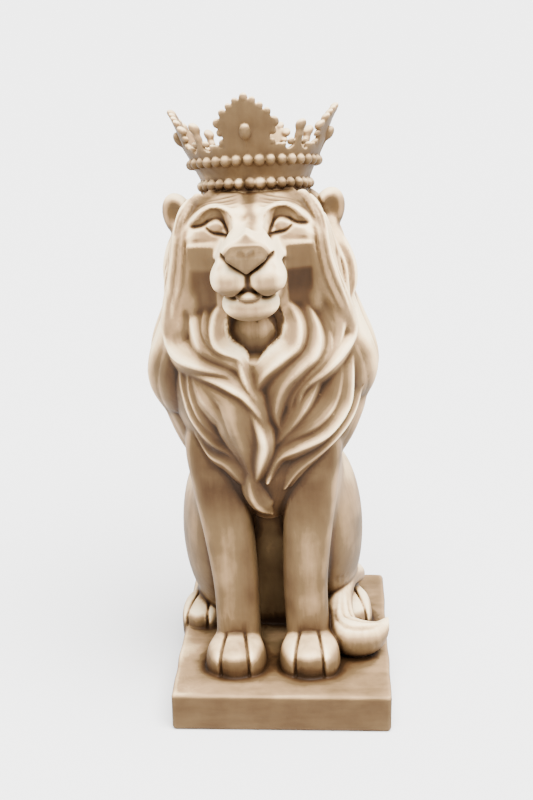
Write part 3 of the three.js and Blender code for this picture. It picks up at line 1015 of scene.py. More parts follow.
@dataclass(frozen=True)
class Head:
    """Skull, face, ears and the hair beside them, set a little to one side of the body's middle plane."""

    muzzle_room: Ball = Ball((0, -55, 245), (23, 27, 21))
    brow_room: Loaf = Loaf((0, -60, 268), (30, 24, 18), 6.0)
    skull: Ball = Ball((0, -6, 262), (33, 37, 22))
    roof: Facets = Facets((
        ((0, -46, 277.6), (0, -0.61, 0.79)), ((28, -36, 273), (0.8, -0.34, 0.5)), ((0, 0, 263), (0, 0, -1)),
        ((0, 0, 0), (0, 1, 0)), ((0, -47, 268), (0.12, -1, 0.1)), ((0, -30, 281.6), (0, -0.2, 0.98)),
        ((32.5, -30, 270), (0.9, 0.43, 0.1)),
    ), (-36, -52, 260), (36, 2, 290), 3.0)
    cheek: Facets = Facets((
        ((30.1, -42, 262), (0.93, 0.36, 0.085)), ((18, -47, 260.4), (0.28, -0.82, 0.5)),
        ((18, -47, 255), (0.3, -0.95, 0)), ((20, -46.4, 248), (0.3, -0.93, -0.16)),
        ((20, -45, 230), (0, -0.85, -0.5)), ((0, -8, 0), (0, 1, 0)), ((0, -20, 274), (0, 0.3, 1)),
    ), (-36, -56, 212), (36, -6, 276), 0.9)
    brow: Cord = Cord((
        (8.6, -49, 264, 1.4), (9.0, -48, 271, 2.2), (11.6, -45.5, 276.6, 2.8), (17, -42.5, 277.8, 3.0),
        (22.4, -41, 275.6, 2.8), (27, -38, 272.6, 2.4), (31, -33, 269, 1.8),
    ), paired=True)
    jaw: Ball = Ball((0, -42, 238), (14, 22, 11))
    block: Facets = Facets((
        ((18.0, -55, 0), (1, 0.05, 0.02)), ((12.4, -70, 262.4), (0.62, -0.05, 0.78)),
        ((0, -68, 250), (0, -1, -0.1)), ((0, 0, 243), (0, 0, -1)), ((0, -20, 0), (0, 1, 0)),
    ), (-19, -70, 242), (19, -18, 276), 2.0)
    bridge: Facets = Facets((
        ((0, -62, 269), (0, -0.252, 0.968)), ((10.4, -62, 266), (0.86, -0.1, 0.5)),
        ((0, -71.5, 262), (0, -1, 0.35)), ((0, 0, 255), (0, 0, -1)), ((0, -30, 0), (0, 1, 0)),
    ), (-22, -78, 253), (22, -28, 282), 2.5)
    chin: Ball = Ball((0, -57, 234.5), (14.2, 14.5, 9))
    lip_pad: Ball = Ball((9.0, -65, 249.4), (9.6, 12.8, 9.8), paired=True)
    nose: Facets = Facets((
        ((0, -72, 265.6), (0, -0.4, 0.92)), ((0, -79.6, 258), (0, -0.98, -0.12)),
        ((0, 0, 252.2), (0.57, 0, -0.82)), ((10.8, -74, 261.2), (0.78, -0.1, 0.62)), ((0, -58, 0), (0, 1, 0)),
    ), (-15, -82, 252), (15, -56, 270), 1.6)
    socket: Cord = Cord((
        (9.6, -52.0, 266, 1.4), (12.2, -51.5, 270.5, 4.6), (16, -50.0, 273.6, 7.4), (20.5, -48.5, 273.6, 5.8),
        (25, -45.0, 271.6, 2.6), (31, -40.5, 270.2, 1.2),
    ), paired=True)
    eyeball: Ball = Ball((15.8, -38.6, 270.2), (7.0, 7.0, 7.0), paired=True)
    # painted shade under the brow: a wide line with no depth
    lid_shade: Line = Line((
        (9.4, 266), (10.6, 270.6), (13.0, 275.0), (16.6, 276.4), (20.8, 274.6), (24.8, 272.2), (30.3, 270.6),
    ), -60, -30, 3.0, 0.0, fade=0.12, ink=0.14)
    upper_lid: Line = Line((
        (9.2, 263.4), (11.0, 269.0), (13.5, 272.8), (16.4, 273.9), (20, 272.4), (23.9, 270.2), (30.6, 269.2),
    ), -56, -30, 0.9, 1.5, fade=0.06, ink=0.42)
    lower_lid: Line = Line((
        (9.6, 264.6), (11.6, 266.0), (14.6, 266.3), (18.4, 267.0), (22.2, 270.2),
    ), -56, -30, 0.8, 1.3, fade=0.1, ink=0.4)
    under_nose: Line = Line((
        (13.8, 262.0), (9, 258.8), (4.5, 255.4), (-1, 251.4),
    ), -84, -66, 1.15, 1.9, fade=0.1, ink=0.6)
    lip_split: Line = Line(
        ((0, 252.4), (0, 248.6), (0, 244.6)), -84, -66, 1.0, 1.9, paired=False, fade=0.1, ink=0.6)
    lips: Line = Line((
        (17.0, 243.2), (13, 240.4), (8, 239.4), (3.8, 242.3), (0.2, 245.4),
    ), -84, -55, 1.1, 2.4, fade=0.08, ink=0.6)
    tongue: Ball = Ball((0, -69, 240.6), (6.5, 5.0, 2.4))
    lip_bed: Ball = Ball((0, -67, 248), (6, 6, 5.5))
    nose_mark: Line = Line(
        ((4.4, 263.6), (2.0, 263.0), (0.0, 261.6)), -82, -68, 0.9, 0.9, fade=0.2, ink=0.15)
    ear: Ball = Ball((39, -5, 268.5), (8.8, 6, 12.2), yaw=24, roll=20, paired=True)
    ear_hollow: Ball = Ball((40.5, -12.9, 269), (6.4, 6, 9.6), yaw=24, roll=20, paired=True)
    side_bed: Ball = Ball((32, -24, 250), (9.5, 14.5, 26), yaw=12, paired=True)
    temple_bed: Ball = Ball((25, -26, 262), (9.5, 14, 19), paired=True)
    cheek_bed: Ball = Ball((32, -36.5, 240), (5, 6.4, 16), paired=True)
    locks: Sequence[Cord] = (
        Cord(((28, -22, 270, 5), (35.8, -25, 256, 6), (39, -26, 244, 6.5), (40.4, -27, 232, 6.4),
              (41.6, -25, 218, 4)), 30, paired=True),
        Cord(((36, -6, 260, 3.5), (39.5, -8, 250, 5), (41, -9, 240, 5.4), (42.5, -11, 228, 5.4),
              (43.5, -13, 214, 3.5)), 30, paired=True),
        Cord(((38, -8, 262, 2.5), (42, -13, 256, 4.4), (45.5, -17, 248, 5.6), (47.5, -19, 239.5, 5.8),
              (47.5, -21, 231, 4.6), (45, -23, 223, 1.5)), 30),
        Cord(((-38, -8, 262, 2.5), (-41, -13, 254, 4.4), (-42.5, -17, 245, 5.2), (-42, -20, 234, 5.2),
              (-42, -23, 221, 5.2), (-45, -25, 207, 2.0)), 30),
        Cord(((27, -24, 281, 3.0), (31.5, -32, 275, 4.4), (34, -36.5, 265, 5.2), (35.5, -38.5, 253, 5.8),
              (38.5, -38.5, 241, 6.2), (43, -35, 229, 6.0), (47, -29.5, 217, 5.0), (48, -26, 206, 3.0)), 30),
        Cord(((-27, -24, 281, 3.0), (-31.5, -32, 275, 4.4), (-34, -36.5, 265, 5.2), (-35.5, -38.5, 253, 5.8),
              (-37.5, -38.5, 241, 6.2), (-41, -36, 229, 6.0), (-44, -32, 217, 5.0),
              (-44.5, -30, 206, 3.0)), 30),
    )
    side_strands: Sequence[Sequence[Flat]] = (
        ((-32, 276), (-38, 262), (-40, 248), (-39, 234), (-34, 218)),
        ((-28, 277), (-33, 262), (-35, 248), (-35, 234), (-31, 216)),
        ((-23, 277), (-27, 263), (-29, 248), (-30, 234), (-28, 214)),
        ((-20, 256), (-23, 244), (-25, 230), (-24, 212)),
        ((-14, 254), (-17, 244), (-19.5, 230), (-20, 210)),
        ((-7, 254), (-10, 244), (-13, 230), (-15, 208)),
    )
    sweeps: Sequence[Sequence[Flat]] = (
        ((3, 287.5), (13, 286.5), (22, 283.5), (30, 276.5), (34, 266)),
        ((5, 284.5), (13, 283.8), (20, 281.6), (27, 277.0), (32.5, 269)),
        ((10, 289), (20, 287.5), (28, 283), (35, 274), (38, 262)),
        ((4, 286), (13, 285.2), (21, 282.6), (28.5, 276.8), (33.2, 267.5)),
        ((6, 288.5), (16, 287.2), (25, 283.4), (32.5, 275.4), (36, 264)),
    )
    crown_strands: Sequence[Sequence[Flat]] = (
        ((4, -25), (10, -28.5), (18, -32), (25, -32), (31, -28)),
        ((4, -30), (9.5, -33.5), (18, -36.2), (25.5, -35.5), (31.5, -31)),
        ((4, -34.5), (9, -37.6), (17, -40), (24.5, -39), (31, -34.5)),
        ((4, -39), (7.5, -41.4), (14.5, -43.4), (21.5, -43), (27, -40.5)),
    )
    parting: Line = Line(((-3.4, 288), (-2.8, 279), (-1.6, 272)), -56, -20, 1.6, 0.6, paired=False)
    stain: Line = Line(
        ((-1.2, 292), (-0.2, 284), (1.0, 277), (3.2, 268)), -60, -14, 2.6, 0.0, paired=False, ink=0.38)

    def model(self, clay: Clay) -> None:
        """Make room for the face, then add the head's forms and cut its lines.

        Args:
            clay: The volume that the head is added to.
        """
        clay.middle = HEAD_MIDDLE
        clay.cut(self.muzzle_room, 5.0)
        clay.cut(self.brow_room, 2.0)
        clay.add(self.skull, 3.0)
        clay.add(self.roof, 3.0)
        clay.add(self.cheek, 1.2)
        clay.add(self.brow, 5.0)
        self.muzzle(clay)
        clay.cut(self.socket, 1.2)
        clay.add(self.eyeball, 0.3)
        clay.engrave(self.lid_shade, self.upper_lid, self.lower_lid)
        self.mouth(clay)
        clay.add(self.ear, 2.0)
        clay.cut(self.ear_hollow, 2.0)
        self.hair(clay)
        clay.middle = 0.0

    def muzzle(self, clay: Clay) -> None:
        """Add the jaw, the muzzle's block and bridge, the chin, the lip pads and the nose.

        Args:
            clay: The volume that they are added to.
        """
        clay.add(self.jaw, 3.0)
        clay.add(self.block, 2.0)
        clay.add(self.bridge, 3.5)
        clay.add(self.chin, 1.5)
        clay.add(self.lip_pad, 1.4)
        clay.add(self.nose, 0.5)

    def mouth(self, clay: Clay) -> None:
        """Cut the line under the nose, the split of the lip, the mouth and the mark on the nose.

        Args:
            clay: The volume that they are cut into.
        """
        clay.engrave(self.under_nose, self.lip_split, self.lips)
        clay.add(self.tongue, 0.8)
        clay.add(self.lip_bed, 1.5)
        clay.engrave(self.nose_mark)

    def hair(self, clay: Clay) -> None:
        """Add the locks beside the face and draw the hair that sweeps from the forehead to the temples.

        Args:
            clay: The volume that the hair is added to.
        """
        clay.add(self.side_bed, 4.0)
        clay.add(self.temple_bed, 3.0)
        clay.add(self.cheek_bed, 3.0)
        for lock in self.locks:
            clay.add(lock, 4.0)
            if not lock.paired:
                self.part(clay, lock)
        for path in self.side_strands:
            clay.engrave(Line(path, 22, 60, 0.8, 0.9, Along.SIDE, fade=0.3, ink=0.08))
        for path in self.sweeps:
            clay.engrave(Line(path, -52, -8, 0.9, 1.0, ink=0.2))
        for path in self.crown_strands:
            clay.engrave(Line(path, 272, 292, 1.0, 0.45, Along.HEIGHT, fade=0.3, ink=0.2))
        clay.engrave(self.parting, self.stain)

    @staticmethod
    def part(clay: Clay, lock: Cord) -> None:
        """Part a lock into strands by two lines, each set off its middle by a share of its radius.

        Args:
            clay: The volume that the lines are cut into.
            lock: The lock to part.
        """
        x, _, z, radius = np.asarray(lock.points, np.float32)[1:-1].T
        for off, depth in ((-0.3, 0.9), (0.4, 0.7)):
            drawn = np.stack([x + off * radius, z], axis=1)
            clay.engrave(Line(drawn, -60, -4, 0.9, depth, paired=False, fade=0.3, ink=0.08))


@dataclass(frozen=True)
class Crown:
    """Open crown on an axis that leans back: bead rows, a flaring wall, leaf points and small points.

    Points are read as height above the lower bead row, radius and turn about the axis. A leaf's outline is
    pairs of share of its height and half width. A leaf pearl is a place aside, a share of the leaf's height
    and a size, and a point pearl is a place aside, a height and a size.
    """

    y: float = 4.0
    z: float = 281.4
    tilt: float = 11.5
    turn: float = 0.04
    ring: float = 27.5
    upper_ring: float = 32.5
    upper_height: float = 11.5
    tip_height: float = 41.5
    side_tip_drop: float = 3.0
    wall: float = 3.2
    valley: float = 18.5
    bead: float = 2.75
    lower_beads: int = 32
    upper_beads: int = 36
    outline: Sequence[Flat] = (
        (0.0, 12.2), (0.2, 12.4), (0.42, 15.0), (0.6, 13.6), (0.76, 9.4), (0.9, 5.0), (1.0, 0.5))
    leaf_pearls: Sequence[Point] = (
        (0.0, 1.0, 2.3), (4.4, 0.93, 1.9), (8.2, 0.82, 2.0), (11.6, 0.7, 2.2), (15.2, 0.5, 2.5),
        (14.2, 0.3, 1.9), (13.4, 0.08, 1.9))
    point_pearls: Sequence[Point] = ((0.0, 28.5, 2.9), (0.0, 23.5, 2.2), (4.6, 20.5, 1.8), (8.6, 18.6, 1.7))

    def reach(self) -> Corners:
        """Lowest and highest corners of the room that the crown may take."""
        return (-52, -56, 268), (52, 62, 335)

    def radius(self, h: Array) -> Array:
        """Radius of the wall's outside at heights."""
        heights = (-4, 0, self.upper_height, 18, 28, 38, self.tip_height + 4)
        return smooth_curve(heights, (self.ring - 0.5, self.ring, self.upper_ring, 35.5, 39.5, 44.0, 47.0), h)

    def distance(self, at: Sequence[Array]) -> Array:
        """Distance of points from the crown.

        Args:
            at: The points' three coordinates.

        Returns:
            Least of the distances from the wall, its floor, the bead rows and the pearls, made uneven by
            slow waves.
        """
        x, y, z = at
        f, h = turned(y - self.y, z - self.z, -self.tilt)
        r = np.hypot(x, f)
        turn = np.arctan2(x, -f) + self.turn
        outside = self.radius(h)
        proud = r - outside + 0.5 * self.wall
        quarter = 0.5 * np.pi
        leaf = np.round(turn / quarter)
        u = np.abs(turn - leaf * quarter) * outside
        top = np.where(leaf == 0, self.tip_height, self.tip_height - self.side_tip_drop)
        sheet = 0.85 * (np.abs(proud) - 0.5 * self.wall)
        wall = np.maximum(soft_max(sheet, self.edge(u, h, top, outside), 1.2), -4.0 - h)
        floor = np.maximum(np.maximum(r - self.ring, h - 3.0), -9.0 - h)
        shape = np.minimum(wall, floor)
        shape = soft_min(shape, self.beads(r, turn, h, self.ring + 0.6, self.lower_beads), 0.5)
        above = h - self.upper_height
        shape = soft_min(shape, self.beads(r, turn, above, self.upper_ring + 0.4, self.upper_beads), 0.5)
        shape = soft_min(shape, self.knobs(u, h, proud, top, outside), 0.6)
        return shape + 0.25 * np.sin(0.36 * x + 0.2 * z) * np.sin(0.31 * y - 0.29 * z + 1.1)

    def beads(self, r: Array, turn: Array, above: Array, ring: float, count: int) -> Array:
        """Distance from a row of beads, by folding the turn into one bead's share of the ring.

        Args:
            r: Radii of the points.
            turn: Turns about the axis.
            above: Heights above the row.
            ring: Radius of the row.
            count: How many beads it has.

        Returns:
            Distances, negative inside a bead.
        """
        share = 2 * np.pi / count
        fold = (turn + 0.5 * share) % share - 0.5 * share
        along, out = r * np.sin(fold), r * np.cos(fold) - ring
        return np.sqrt(along * along + out * out + above**2) - self.bead

    def edge(self, u: Array, h: Array, top: Array, radius: Array) -> Array:
        """Distance above the crown's edge.

        A leaf has straight sides and a pointed head, and a small point stands halfway between two leaves.

        Args:
            u: Distance round the wall from the middle of the nearest leaf.
            h: Height.
            top: Height of that leaf's tip.
            radius: Radius of the wall there.

        Returns:
            Distance beyond the outline of the leaves, points and band.
        """
        share = np.clip((h - self.valley) / (top - self.valley), 0.0, 1.0)
        leaf = np.maximum(0.8 * (u - smooth_curve(*zip(*self.outline), share)), h - top)
        between = np.abs(u - 0.25 * np.pi * radius)
        small = np.maximum(between - np.clip(2.4 - 0.12 * (h - 22), 1.0, 4.0), h - 28.0)
        sag = 1.6 * np.cos(between * 0.55) * (between < 14)
        return np.minimum(np.minimum(leaf, small), h - self.valley - sag)

    def knobs(self, u: Array, h: Array, proud: Array, top: Array, radius: Array) -> Array:
        """Distance from the pearls along each leaf's edge and on the small points, and each leaf's drop.

        Args:
            u: Distance round the wall from the middle of the nearest leaf.
            h: Height.
            proud: Distance out from the middle of the wall.
            top: Height of that leaf's tip.
            radius: Radius of the wall there.

        Returns:
            Distances, negative inside.
        """
        leaf = top - self.valley
        pearls = [(at, self.valley + share * leaf, size) for at, share, size in self.leaf_pearls]
        middle = 0.25 * np.pi * radius
        pearls += [(middle - away, height, size) for away, height, size in self.point_pearls]
        drop = np.sqrt(u**2 + (0.72 * (h - 25.2)) ** 2 + (proud - 2.6) ** 2) - 2.7
        stem = np.maximum(np.hypot(u, proud - 1.6) - 0.11 * (h - 11.0), np.abs(h - 19.0) - 5.0)
        shape = np.full(u.shape, FAR, np.float32)
        for at, height, size in pearls:
            shape = np.minimum(shape, np.sqrt((u - at) ** 2 + (h - height) ** 2 + proud**2) - size)
        return soft_min(soft_min(shape, drop, 0.5), stem, 1.0)


@dataclass(frozen=True)
class Zone:
    """Part of the statue with soft edges, and how the wash and the painted light and shade differ there.

    An edge is where the zone starts and where it is whole, and a bell is a distance from the body's middle
    plane and a width. The share of a place is the product of its ramps across the edges and its bells. The
    tone is darker by change, by to_right more on the right, and shows the darker hollows and lighter edges
    that much less.
    """

    change: float = 0.0
    to_right: float = 0.0
    hollows: float = 0.0
    edges: float = 0.0
    x: Sequence[Flat] = ()
    from_head: Sequence[Flat] = ()
    from_body: Sequence[Flat] = ()
    y: Sequence[Flat] = ()
    z: Sequence[Flat] = ()
    bells: Sequence[Flat] = ()

    def share(self, points: Array) -> Array:
        """How far points lie in the zone.

        Args:
            points: Points on the upright statue.

        Returns:
            Shares from 0 outside to 1 well inside.
        """
        x, y, z = points.T
        from_body = np.abs(x - BODY_MIDDLE)
        ramps = ((x, self.x), (np.abs(x - HEAD_MIDDLE), self.from_head), (from_body, self.from_body),
                 (y, self.y), (z, self.z))
        total = np.ones(len(points), np.float32)
        for value, edges in ramps:
            for start, end in edges:
                total *= smooth_step(value, start, end)
        for place, width in self.bells:
            total *= np.exp(-(((from_body - place) / width) ** 2))
        return total


class Part(Enum):
    """Parts of the statue that the wash and the painted light and shade treat apart."""

    FACE = Zone(-0.22, edges=0.7, from_head=((33, 30),), y=((-34, -44),), z=((226, 232), (290, 280)))
    BESIDE_MUZZLE = Zone(from_head=((17.6, 18.8),), y=((-54, -50),), z=((260.4, 259.4),))
    CHEEK_WALL = Zone(
        from_head=((17.6, 18.8), (32, 29)), y=((-36, -40), (-54, -50)), z=((260.2, 259.4), (232, 240)))
    NOSE = Zone(y=((-70.4, -71.8),))
    PLINTH = Zone(0.12, edges=0.7, z=((24, 22.5),))
    PLINTH_FACE = Zone(0.12, z=((24, 22.5),))
    CROWN = Zone(0.04, hollows=0.6, edges=0.75)
    CROWN_BAND = Zone(-0.12, z=((292, 289),))
    # painted shade low in the gap between the front legs, lightened higher up by the next zone
    BELLY = Zone(0.06, x=((-11, -5), (11, 5)), y=((-34, -18), (20, 10)), z=((128, 100), (22.5, 24)))
    UPPER_BELLY = Zone(-0.34, x=((-11, -5), (11, 5)), y=((-34, -18), (20, 10)), z=((128, 100), (62, 84)))
    HAIR = Zone(hollows=0.4, edges=0.3, z=((128, 140), (284, 278)))
    COLLAR = Zone(0.06, y=((-26, -36), (-56, -50)))
    EAR = Zone(-0.12, hollows=0.5, from_head=((31, 35),), y=((6, 1), (-19, -15)), z=((254, 258),))
    # painted shade in the crease between each front leg and its haunch
    LEG_CREASE = Zone(0.16, y=((-29, -17), (4, -6)), z=((132, 118), (22.5, 24)), bells=((31.5, 4.5),))
    LEG_SHADE = Zone(0.18, from_body=((37, 31),), y=((-2, -12),), z=((136, 128), (42, 52)))
    PAW = Zone(0.08, -0.035, hollows=0.3, y=((-20, -34),), z=((42, 38), (22.5, 24)))
    THROAT = Zone(-0.14, hollows=0.35, from_head=((20, 12),), y=((-30, -36),), z=((196, 204), (236, 228)))
    # painted highlight down the front of each front leg
    SHIN = Zone(-0.1, y=((-30, -34),), z=((36, 56), (116, 96)), bells=((22.5, 4.5),))
    TEMPLE = Zone(-0.18, from_head=((26, 31),), y=((-6, -12),), z=((196, 208), (288, 276)))
    HAIRLINE = Zone(0.03, from_head=((31, 27),), y=((-18, -24),), z=((290, 285),))
    TAIL = Zone(-0.09, x=((31, 35),), z=((62, 54), (22.5, 24)))
    # outer shoulders lighter, the right one more: painted light from the right
    ARM = Zone(-0.055, -0.02, from_body=((34, 44),), z=((145, 165), (255, 235)))


@dataclass(frozen=True)
class WashAndPaintedLight:
    """Tone of the wash and the painted light and shade: 0 where brushed white, 1 in the deepest hollow.

    A sheer wall has the middle tone. Faces that look up are lighter and faces that look down darker: painted
    light from above, partly dry-brushed white, and painted shade beneath. Faces that look sideways are
    lighter, more so higher up, painted light on the sides. Hollows are darker by how much clay stands about
    them, the wash that the casting holds in its hollows together with painted shade, and edges lighter by how
    little, the wash rubbed thin together with a painted highlight. Each zone then has its own change. A brush
    mark is a place across and up, half its width and height, and its change. A row of fullness is a radius,
    the share of clay past which a place is a hollow and the weight of that, and the share short of which it
    is an edge and the weight of that.
    """

    mane: Mane
    crown: Crown
    sheer: float = 0.54
    # painted light on faces that look up, partly dry-brushed white, and painted shade on faces that look down
    top_light_painted: float = 0.38
    top_light_painted_hair: float = 0.06
    underside_shade_painted: float = 0.10
    underside_shade_painted_face: float = 0.16
    # painted light on faces that look sideways
    side_light_painted: float = 0.30
    hair: float = 0.11
    groove: float = 0.07
    dip: float = 0.045
    nose: float = 0.48
    wall: float = 0.54
    wall_right: float = 0.03
    # painted shade on the lower part of the cheek wall, a little deeper on the right
    wall_foot_shade_painted: float = 0.27
    wall_foot_shade_painted_right: float = 0.06
    # hollows: the wash the casting holds there, with painted shade; edges: the wash rubbed thin, with a
    # painted highlight
    fullness: Sequence[Sequence[float]] = (
        (1.6, 0.52, 0.6, 0.44, 1.2), (4.0, 0.53, 2.0, 0.43, 2.0), (11.0, 0.52, 1.5, 0.0, 0.0))
    brush_marks: Sequence[tuple[float, float, float, float, float]] = (
        (-25, 176, 11, 13, -0.11), (36, 168, 11, 11, -0.14), (44, 178, 8, 14, -0.08), (-39, 226, 9, 16, -0.2),
        (-25, 153, 8, 7, 0.14), (16, 182, 7, 12, 0.05), (-9, 159, 6, 9, -0.05),
    )

    def shares(self, points: Array, up: Array) -> dict[Part, Array]:
        """Shares of every part at points, with the edges that aren't square to the axes.

        Args:
            points: Points on the upright statue.
            up: How far each looks up.

        Returns:
            Shares from 0 to 1 by part.
        """
        x, y, z = points.T
        across = np.abs(x - HEAD_MIDDLE)
        share = {part: part.value.share(points) for part in Part}
        crown = smooth_step(self.crown.distance(points.T), 0.9, 0.3)
        share[Part.CROWN] *= crown
        share[Part.CROWN_BAND] *= crown
        share[Part.EAR] *= 1.0 - crown
        share[Part.TEMPLE] *= 1.0 - share[Part.EAR]
        share[Part.FACE] *= 1.0 - share[Part.BESIDE_MUZZLE]
        share[Part.NOSE] *= smooth_step(z - 0.7 * across, 251.8, 252.8)
        share[Part.PLINTH_FACE] *= smooth_step(up, 0.2, 0.8)
        share[Part.COLLAR] *= smooth_step(np.hypot(across / 36.0, (z - 238.0) / 20.0), 1.0, 0.75)
        share[Part.HAIRLINE] *= smooth_step(z + 0.12 * (y + 46.0), 278.6, 281.0)
        inner_leg = smooth_step(np.abs(x - BODY_MIDDLE), 17.0, 9.0)
        share[Part.LEG_SHADE] *= np.maximum(inner_leg, smooth_step(z, 100.0, 128.0))
        return share

    def tone(self, clay: Clay, points: Array, facing: Array, share: dict[Part, Array]) -> Array:
        """Tone of the wash at points.

        Args:
            clay: The volume that the points are the skin of.
            points: Points on the upright statue.
            facing: The way the skin looks at each.
            share: Shares of the parts at each.

        Returns:
            Tones, which the finish turns into colours.
        """
        x, y, z = points.T
        up, aside = facing[:, 2], np.abs(facing[:, 0])
        face, hair = share[Part.FACE], share[Part.HAIR]
        right = np.sign(x - HEAD_MIDDLE)
        # painted light from above on faces that look up, partly dry-brushed white, and painted shade beneath
        tone = self.sheer - (self.top_light_painted - self.top_light_painted_hair * hair) * smooth_step(up, 0.02, 0.8)
        tone += (self.underside_shade_painted + self.underside_shade_painted_face * face) * smooth_step(up, -0.1, -0.8)
        hollow, edge = np.zeros_like(tone), np.zeros_like(tone)
        # darker in hollows, the casting's own wash together with painted shade; lighter on edges, wash rubbed
        # thin and painted highlight
        for radius, full, darker, thin, lighter in self.fullness:
            solid = clay.read(clay.solidity(radius), points)
            hollow += darker * np.maximum(solid - full, 0.0)
            edge += lighter * np.maximum(thin - solid, 0.0)
        for part, amount in share.items():
            zone = part.value
            tone += (zone.change + zone.to_right * right - zone.hollows * hollow + zone.edges * edge) * amount
        tone += hollow - edge
        groove = self.groove * np.clip(self.mane.troughs(points, 12, 16), -2.0, 3.0)
        dip = self.dip * np.clip(self.mane.troughs(points, 32, 40), -3.0, 5.0)
        tone += (groove + dip + self.hair * hair) * (1.0 - face)
        bare = 1.0 - share[Part.CROWN] - share[Part.EAR]
        # painted light: faces that look sideways are lighter, more so higher up
        tone -= self.side_light_painted * smooth_step(aside, 0.4, 0.95) * smooth_step(z, 30.0, 190.0) * bare
        tone += share[Part.NOSE] * (self.nose - tone)
        # painted shade: the cheek wall darkens towards its foot
        foot_shade_painted = (self.wall_foot_shade_painted + self.wall_foot_shade_painted_right * right) * smooth_step(z, 249.6, 246.4)
        tone += share[Part.CHEEK_WALL] * (self.wall + self.wall_right * right + foot_shade_painted - tone)
        for mark_x, mark_z, half_width, half_height, change in self.brush_marks:
            away = ((x - mark_x) / half_width) ** 2 + ((z - mark_z) / half_height) ** 2
            tone += change * np.exp(-away) * smooth_step(y, -18.0, -26.0)
        return tone + clay.read(clay.ink, points)


@dataclass
class Casting:
    """The whole statue: its forms in clay, its mesh and the values that its finish follows."""

    name: str = "crowned_lion_casting"
    pitch: float = 0.7
    triangles: int = 196000
    face_middle: float = 259.0
    face_half: Flat = (33.0, 31.0)
    face_depth: float = -37.0
    level_under: float = 0.3
    plinth: Plinth = Plinth()
    crown: Crown = Crown()
    mane: Mane = field(default_factory=Mane)

    def model(self) -> Clay:
        """Model the statue in clay, upright, before it leans.

        Returns:
            The modelled volume.
        """
        clay = Clay(self.pitch)
        Body().model(clay)
        clay.add(self.mane, 1.2)
        Head().model(clay)
        clay.add(self.crown, 0.6)
        clay.add(self.plinth, 1.5)
        return clay

    def surface(self, clay: Clay) -> bpy.types.Object:
        """Skin of the clay as a mesh under the triangle limit, thinned everywhere but on the face.

        Args:
            clay: The modelled volume.

        Returns:
            A new object in the scene, in millimetres and upright.
        """
        grid = openvdb.FloatGrid(FAR)
        grid.copyFromArray(clay.values)
        points, triangles, quads = grid.convertToPolygons(isovalue=0.0, adaptivity=0.0)
        points = points.astype(np.float32) * clay.pitch + np.asarray(clay.low, np.float32)
        mesh = bpy.data.meshes.new(self.name)
        mesh.from_pydata(points, [], [*quads.tolist(), *triangles.tolist()])
        piece = bpy.data.objects.new(self.name, mesh)
        bpy.context.scene.collection.objects.link(piece)
        count = 2 * len(quads) + len(triangles)
        LOG.info("skin has %d triangles before thinning", count)
        x, y, z = points.T
        in_face = np.abs(x - HEAD_MIDDLE) < self.face_half[0]
        in_face &= (y < self.face_depth) & (np.abs(z - self.face_middle) < self.face_half[1])
        kept = piece.vertex_groups.new(name="face")
        kept.add(np.nonzero(in_face)[0].tolist(), 1.0, "REPLACE")
        thin = piece.modifiers.new("thin", "DECIMATE")
        thin.ratio = min(1.0, self.triangles / count)
        thin.use_collapse_triangulate = True
        thin.vertex_group = kept.name
        thin.invert_vertex_group = True
        graph = bpy.context.evaluated_depsgraph_get()
        piece.data = bpy.data.meshes.new_from_object(piece.evaluated_get(graph))
        piece.modifiers.clear()
        piece.vertex_groups.clear()
        bpy.data.meshes.remove(mesh)
        piece.data.name = self.name
        return piece

    @staticmethod
    def places(mesh: bpy.types.Mesh) -> Array:
        """Places of a mesh's vertices.

        Args:
            mesh: The mesh.

        Returns:
            One place to a row.
        """
        flat = np.empty(3 * len(mesh.vertices), np.float32)
        mesh.vertices.foreach_get("co", flat)
        return flat.reshape(-1, 3)

    def dress(self, piece: bpy.types.Object, clay: Clay) -> None:
        """Give each vertex the tone of the wash, with its painted light and shade, and the place that brush
        streaks follow.

        Streaks follow the locks on the mane, run across the plinth and run down the rest.

        Args:
            piece: The upright mesh, in millimetres.
            clay: The volume it is the skin of.
        """
        mesh = piece.data
        points = self.places(mesh)
        facing = np.empty(points.size, np.float32)
        mesh.vertex_normals.foreach_get("vector", facing)
        facing = facing.reshape(-1, 3)
        wash = WashAndPaintedLight(self.mane, self.crown)
        share = wash.shares(points, facing[:, 2])
        tone = wash.tone(clay, points, facing, share).astype(np.float32)
        mesh.attributes.new("tone", "FLOAT", "POINT").data.foreach_set("value", tone)
        _, on_mane = self.mane.place(points)
        on_plinth = share[Part.PLINTH][:, None] > 0.5
        plain = points * np.where(on_plinth, (0.1, 0.4, 0.5), (0.5, 0.5, 0.08))
        in_locks = (on_mane * (1.0 - share[Part.FACE]) > 0.3)[:, None]
        flow = np.where(in_locks, self.mane.flow(points), plain).astype(np.float32)
        mesh.attributes.new("flow", "FLOAT_VECTOR", "POINT").data.foreach_set("vector", flow.ravel())

    def stand(self, piece: bpy.types.Object) -> None:
        """Lean the statue, set its underside level and turn its lengths into metres.

        Args:
            piece: The upright mesh, in millimetres.
        """
        mesh = piece.data
        x, y, z = self.places(mesh).T
        right, high = self.plinth.leant(x, z)
        high = np.where(high < self.level_under, 0.0, high)
        mesh.vertices.foreach_set("co", (np.stack([right, y, high], axis=1) * MM).ravel())
        mesh.shade_smooth()
        mesh.update()

    def build(self) -> bpy.types.Object:
        """Model the statue and make its mesh.

        Returns:
            The statue as an object in the scene, in metres.
        """
        clay = self.model()
        piece = self.surface(clay)
        self.dress(piece, clay)
        self.stand(piece)
        return piece


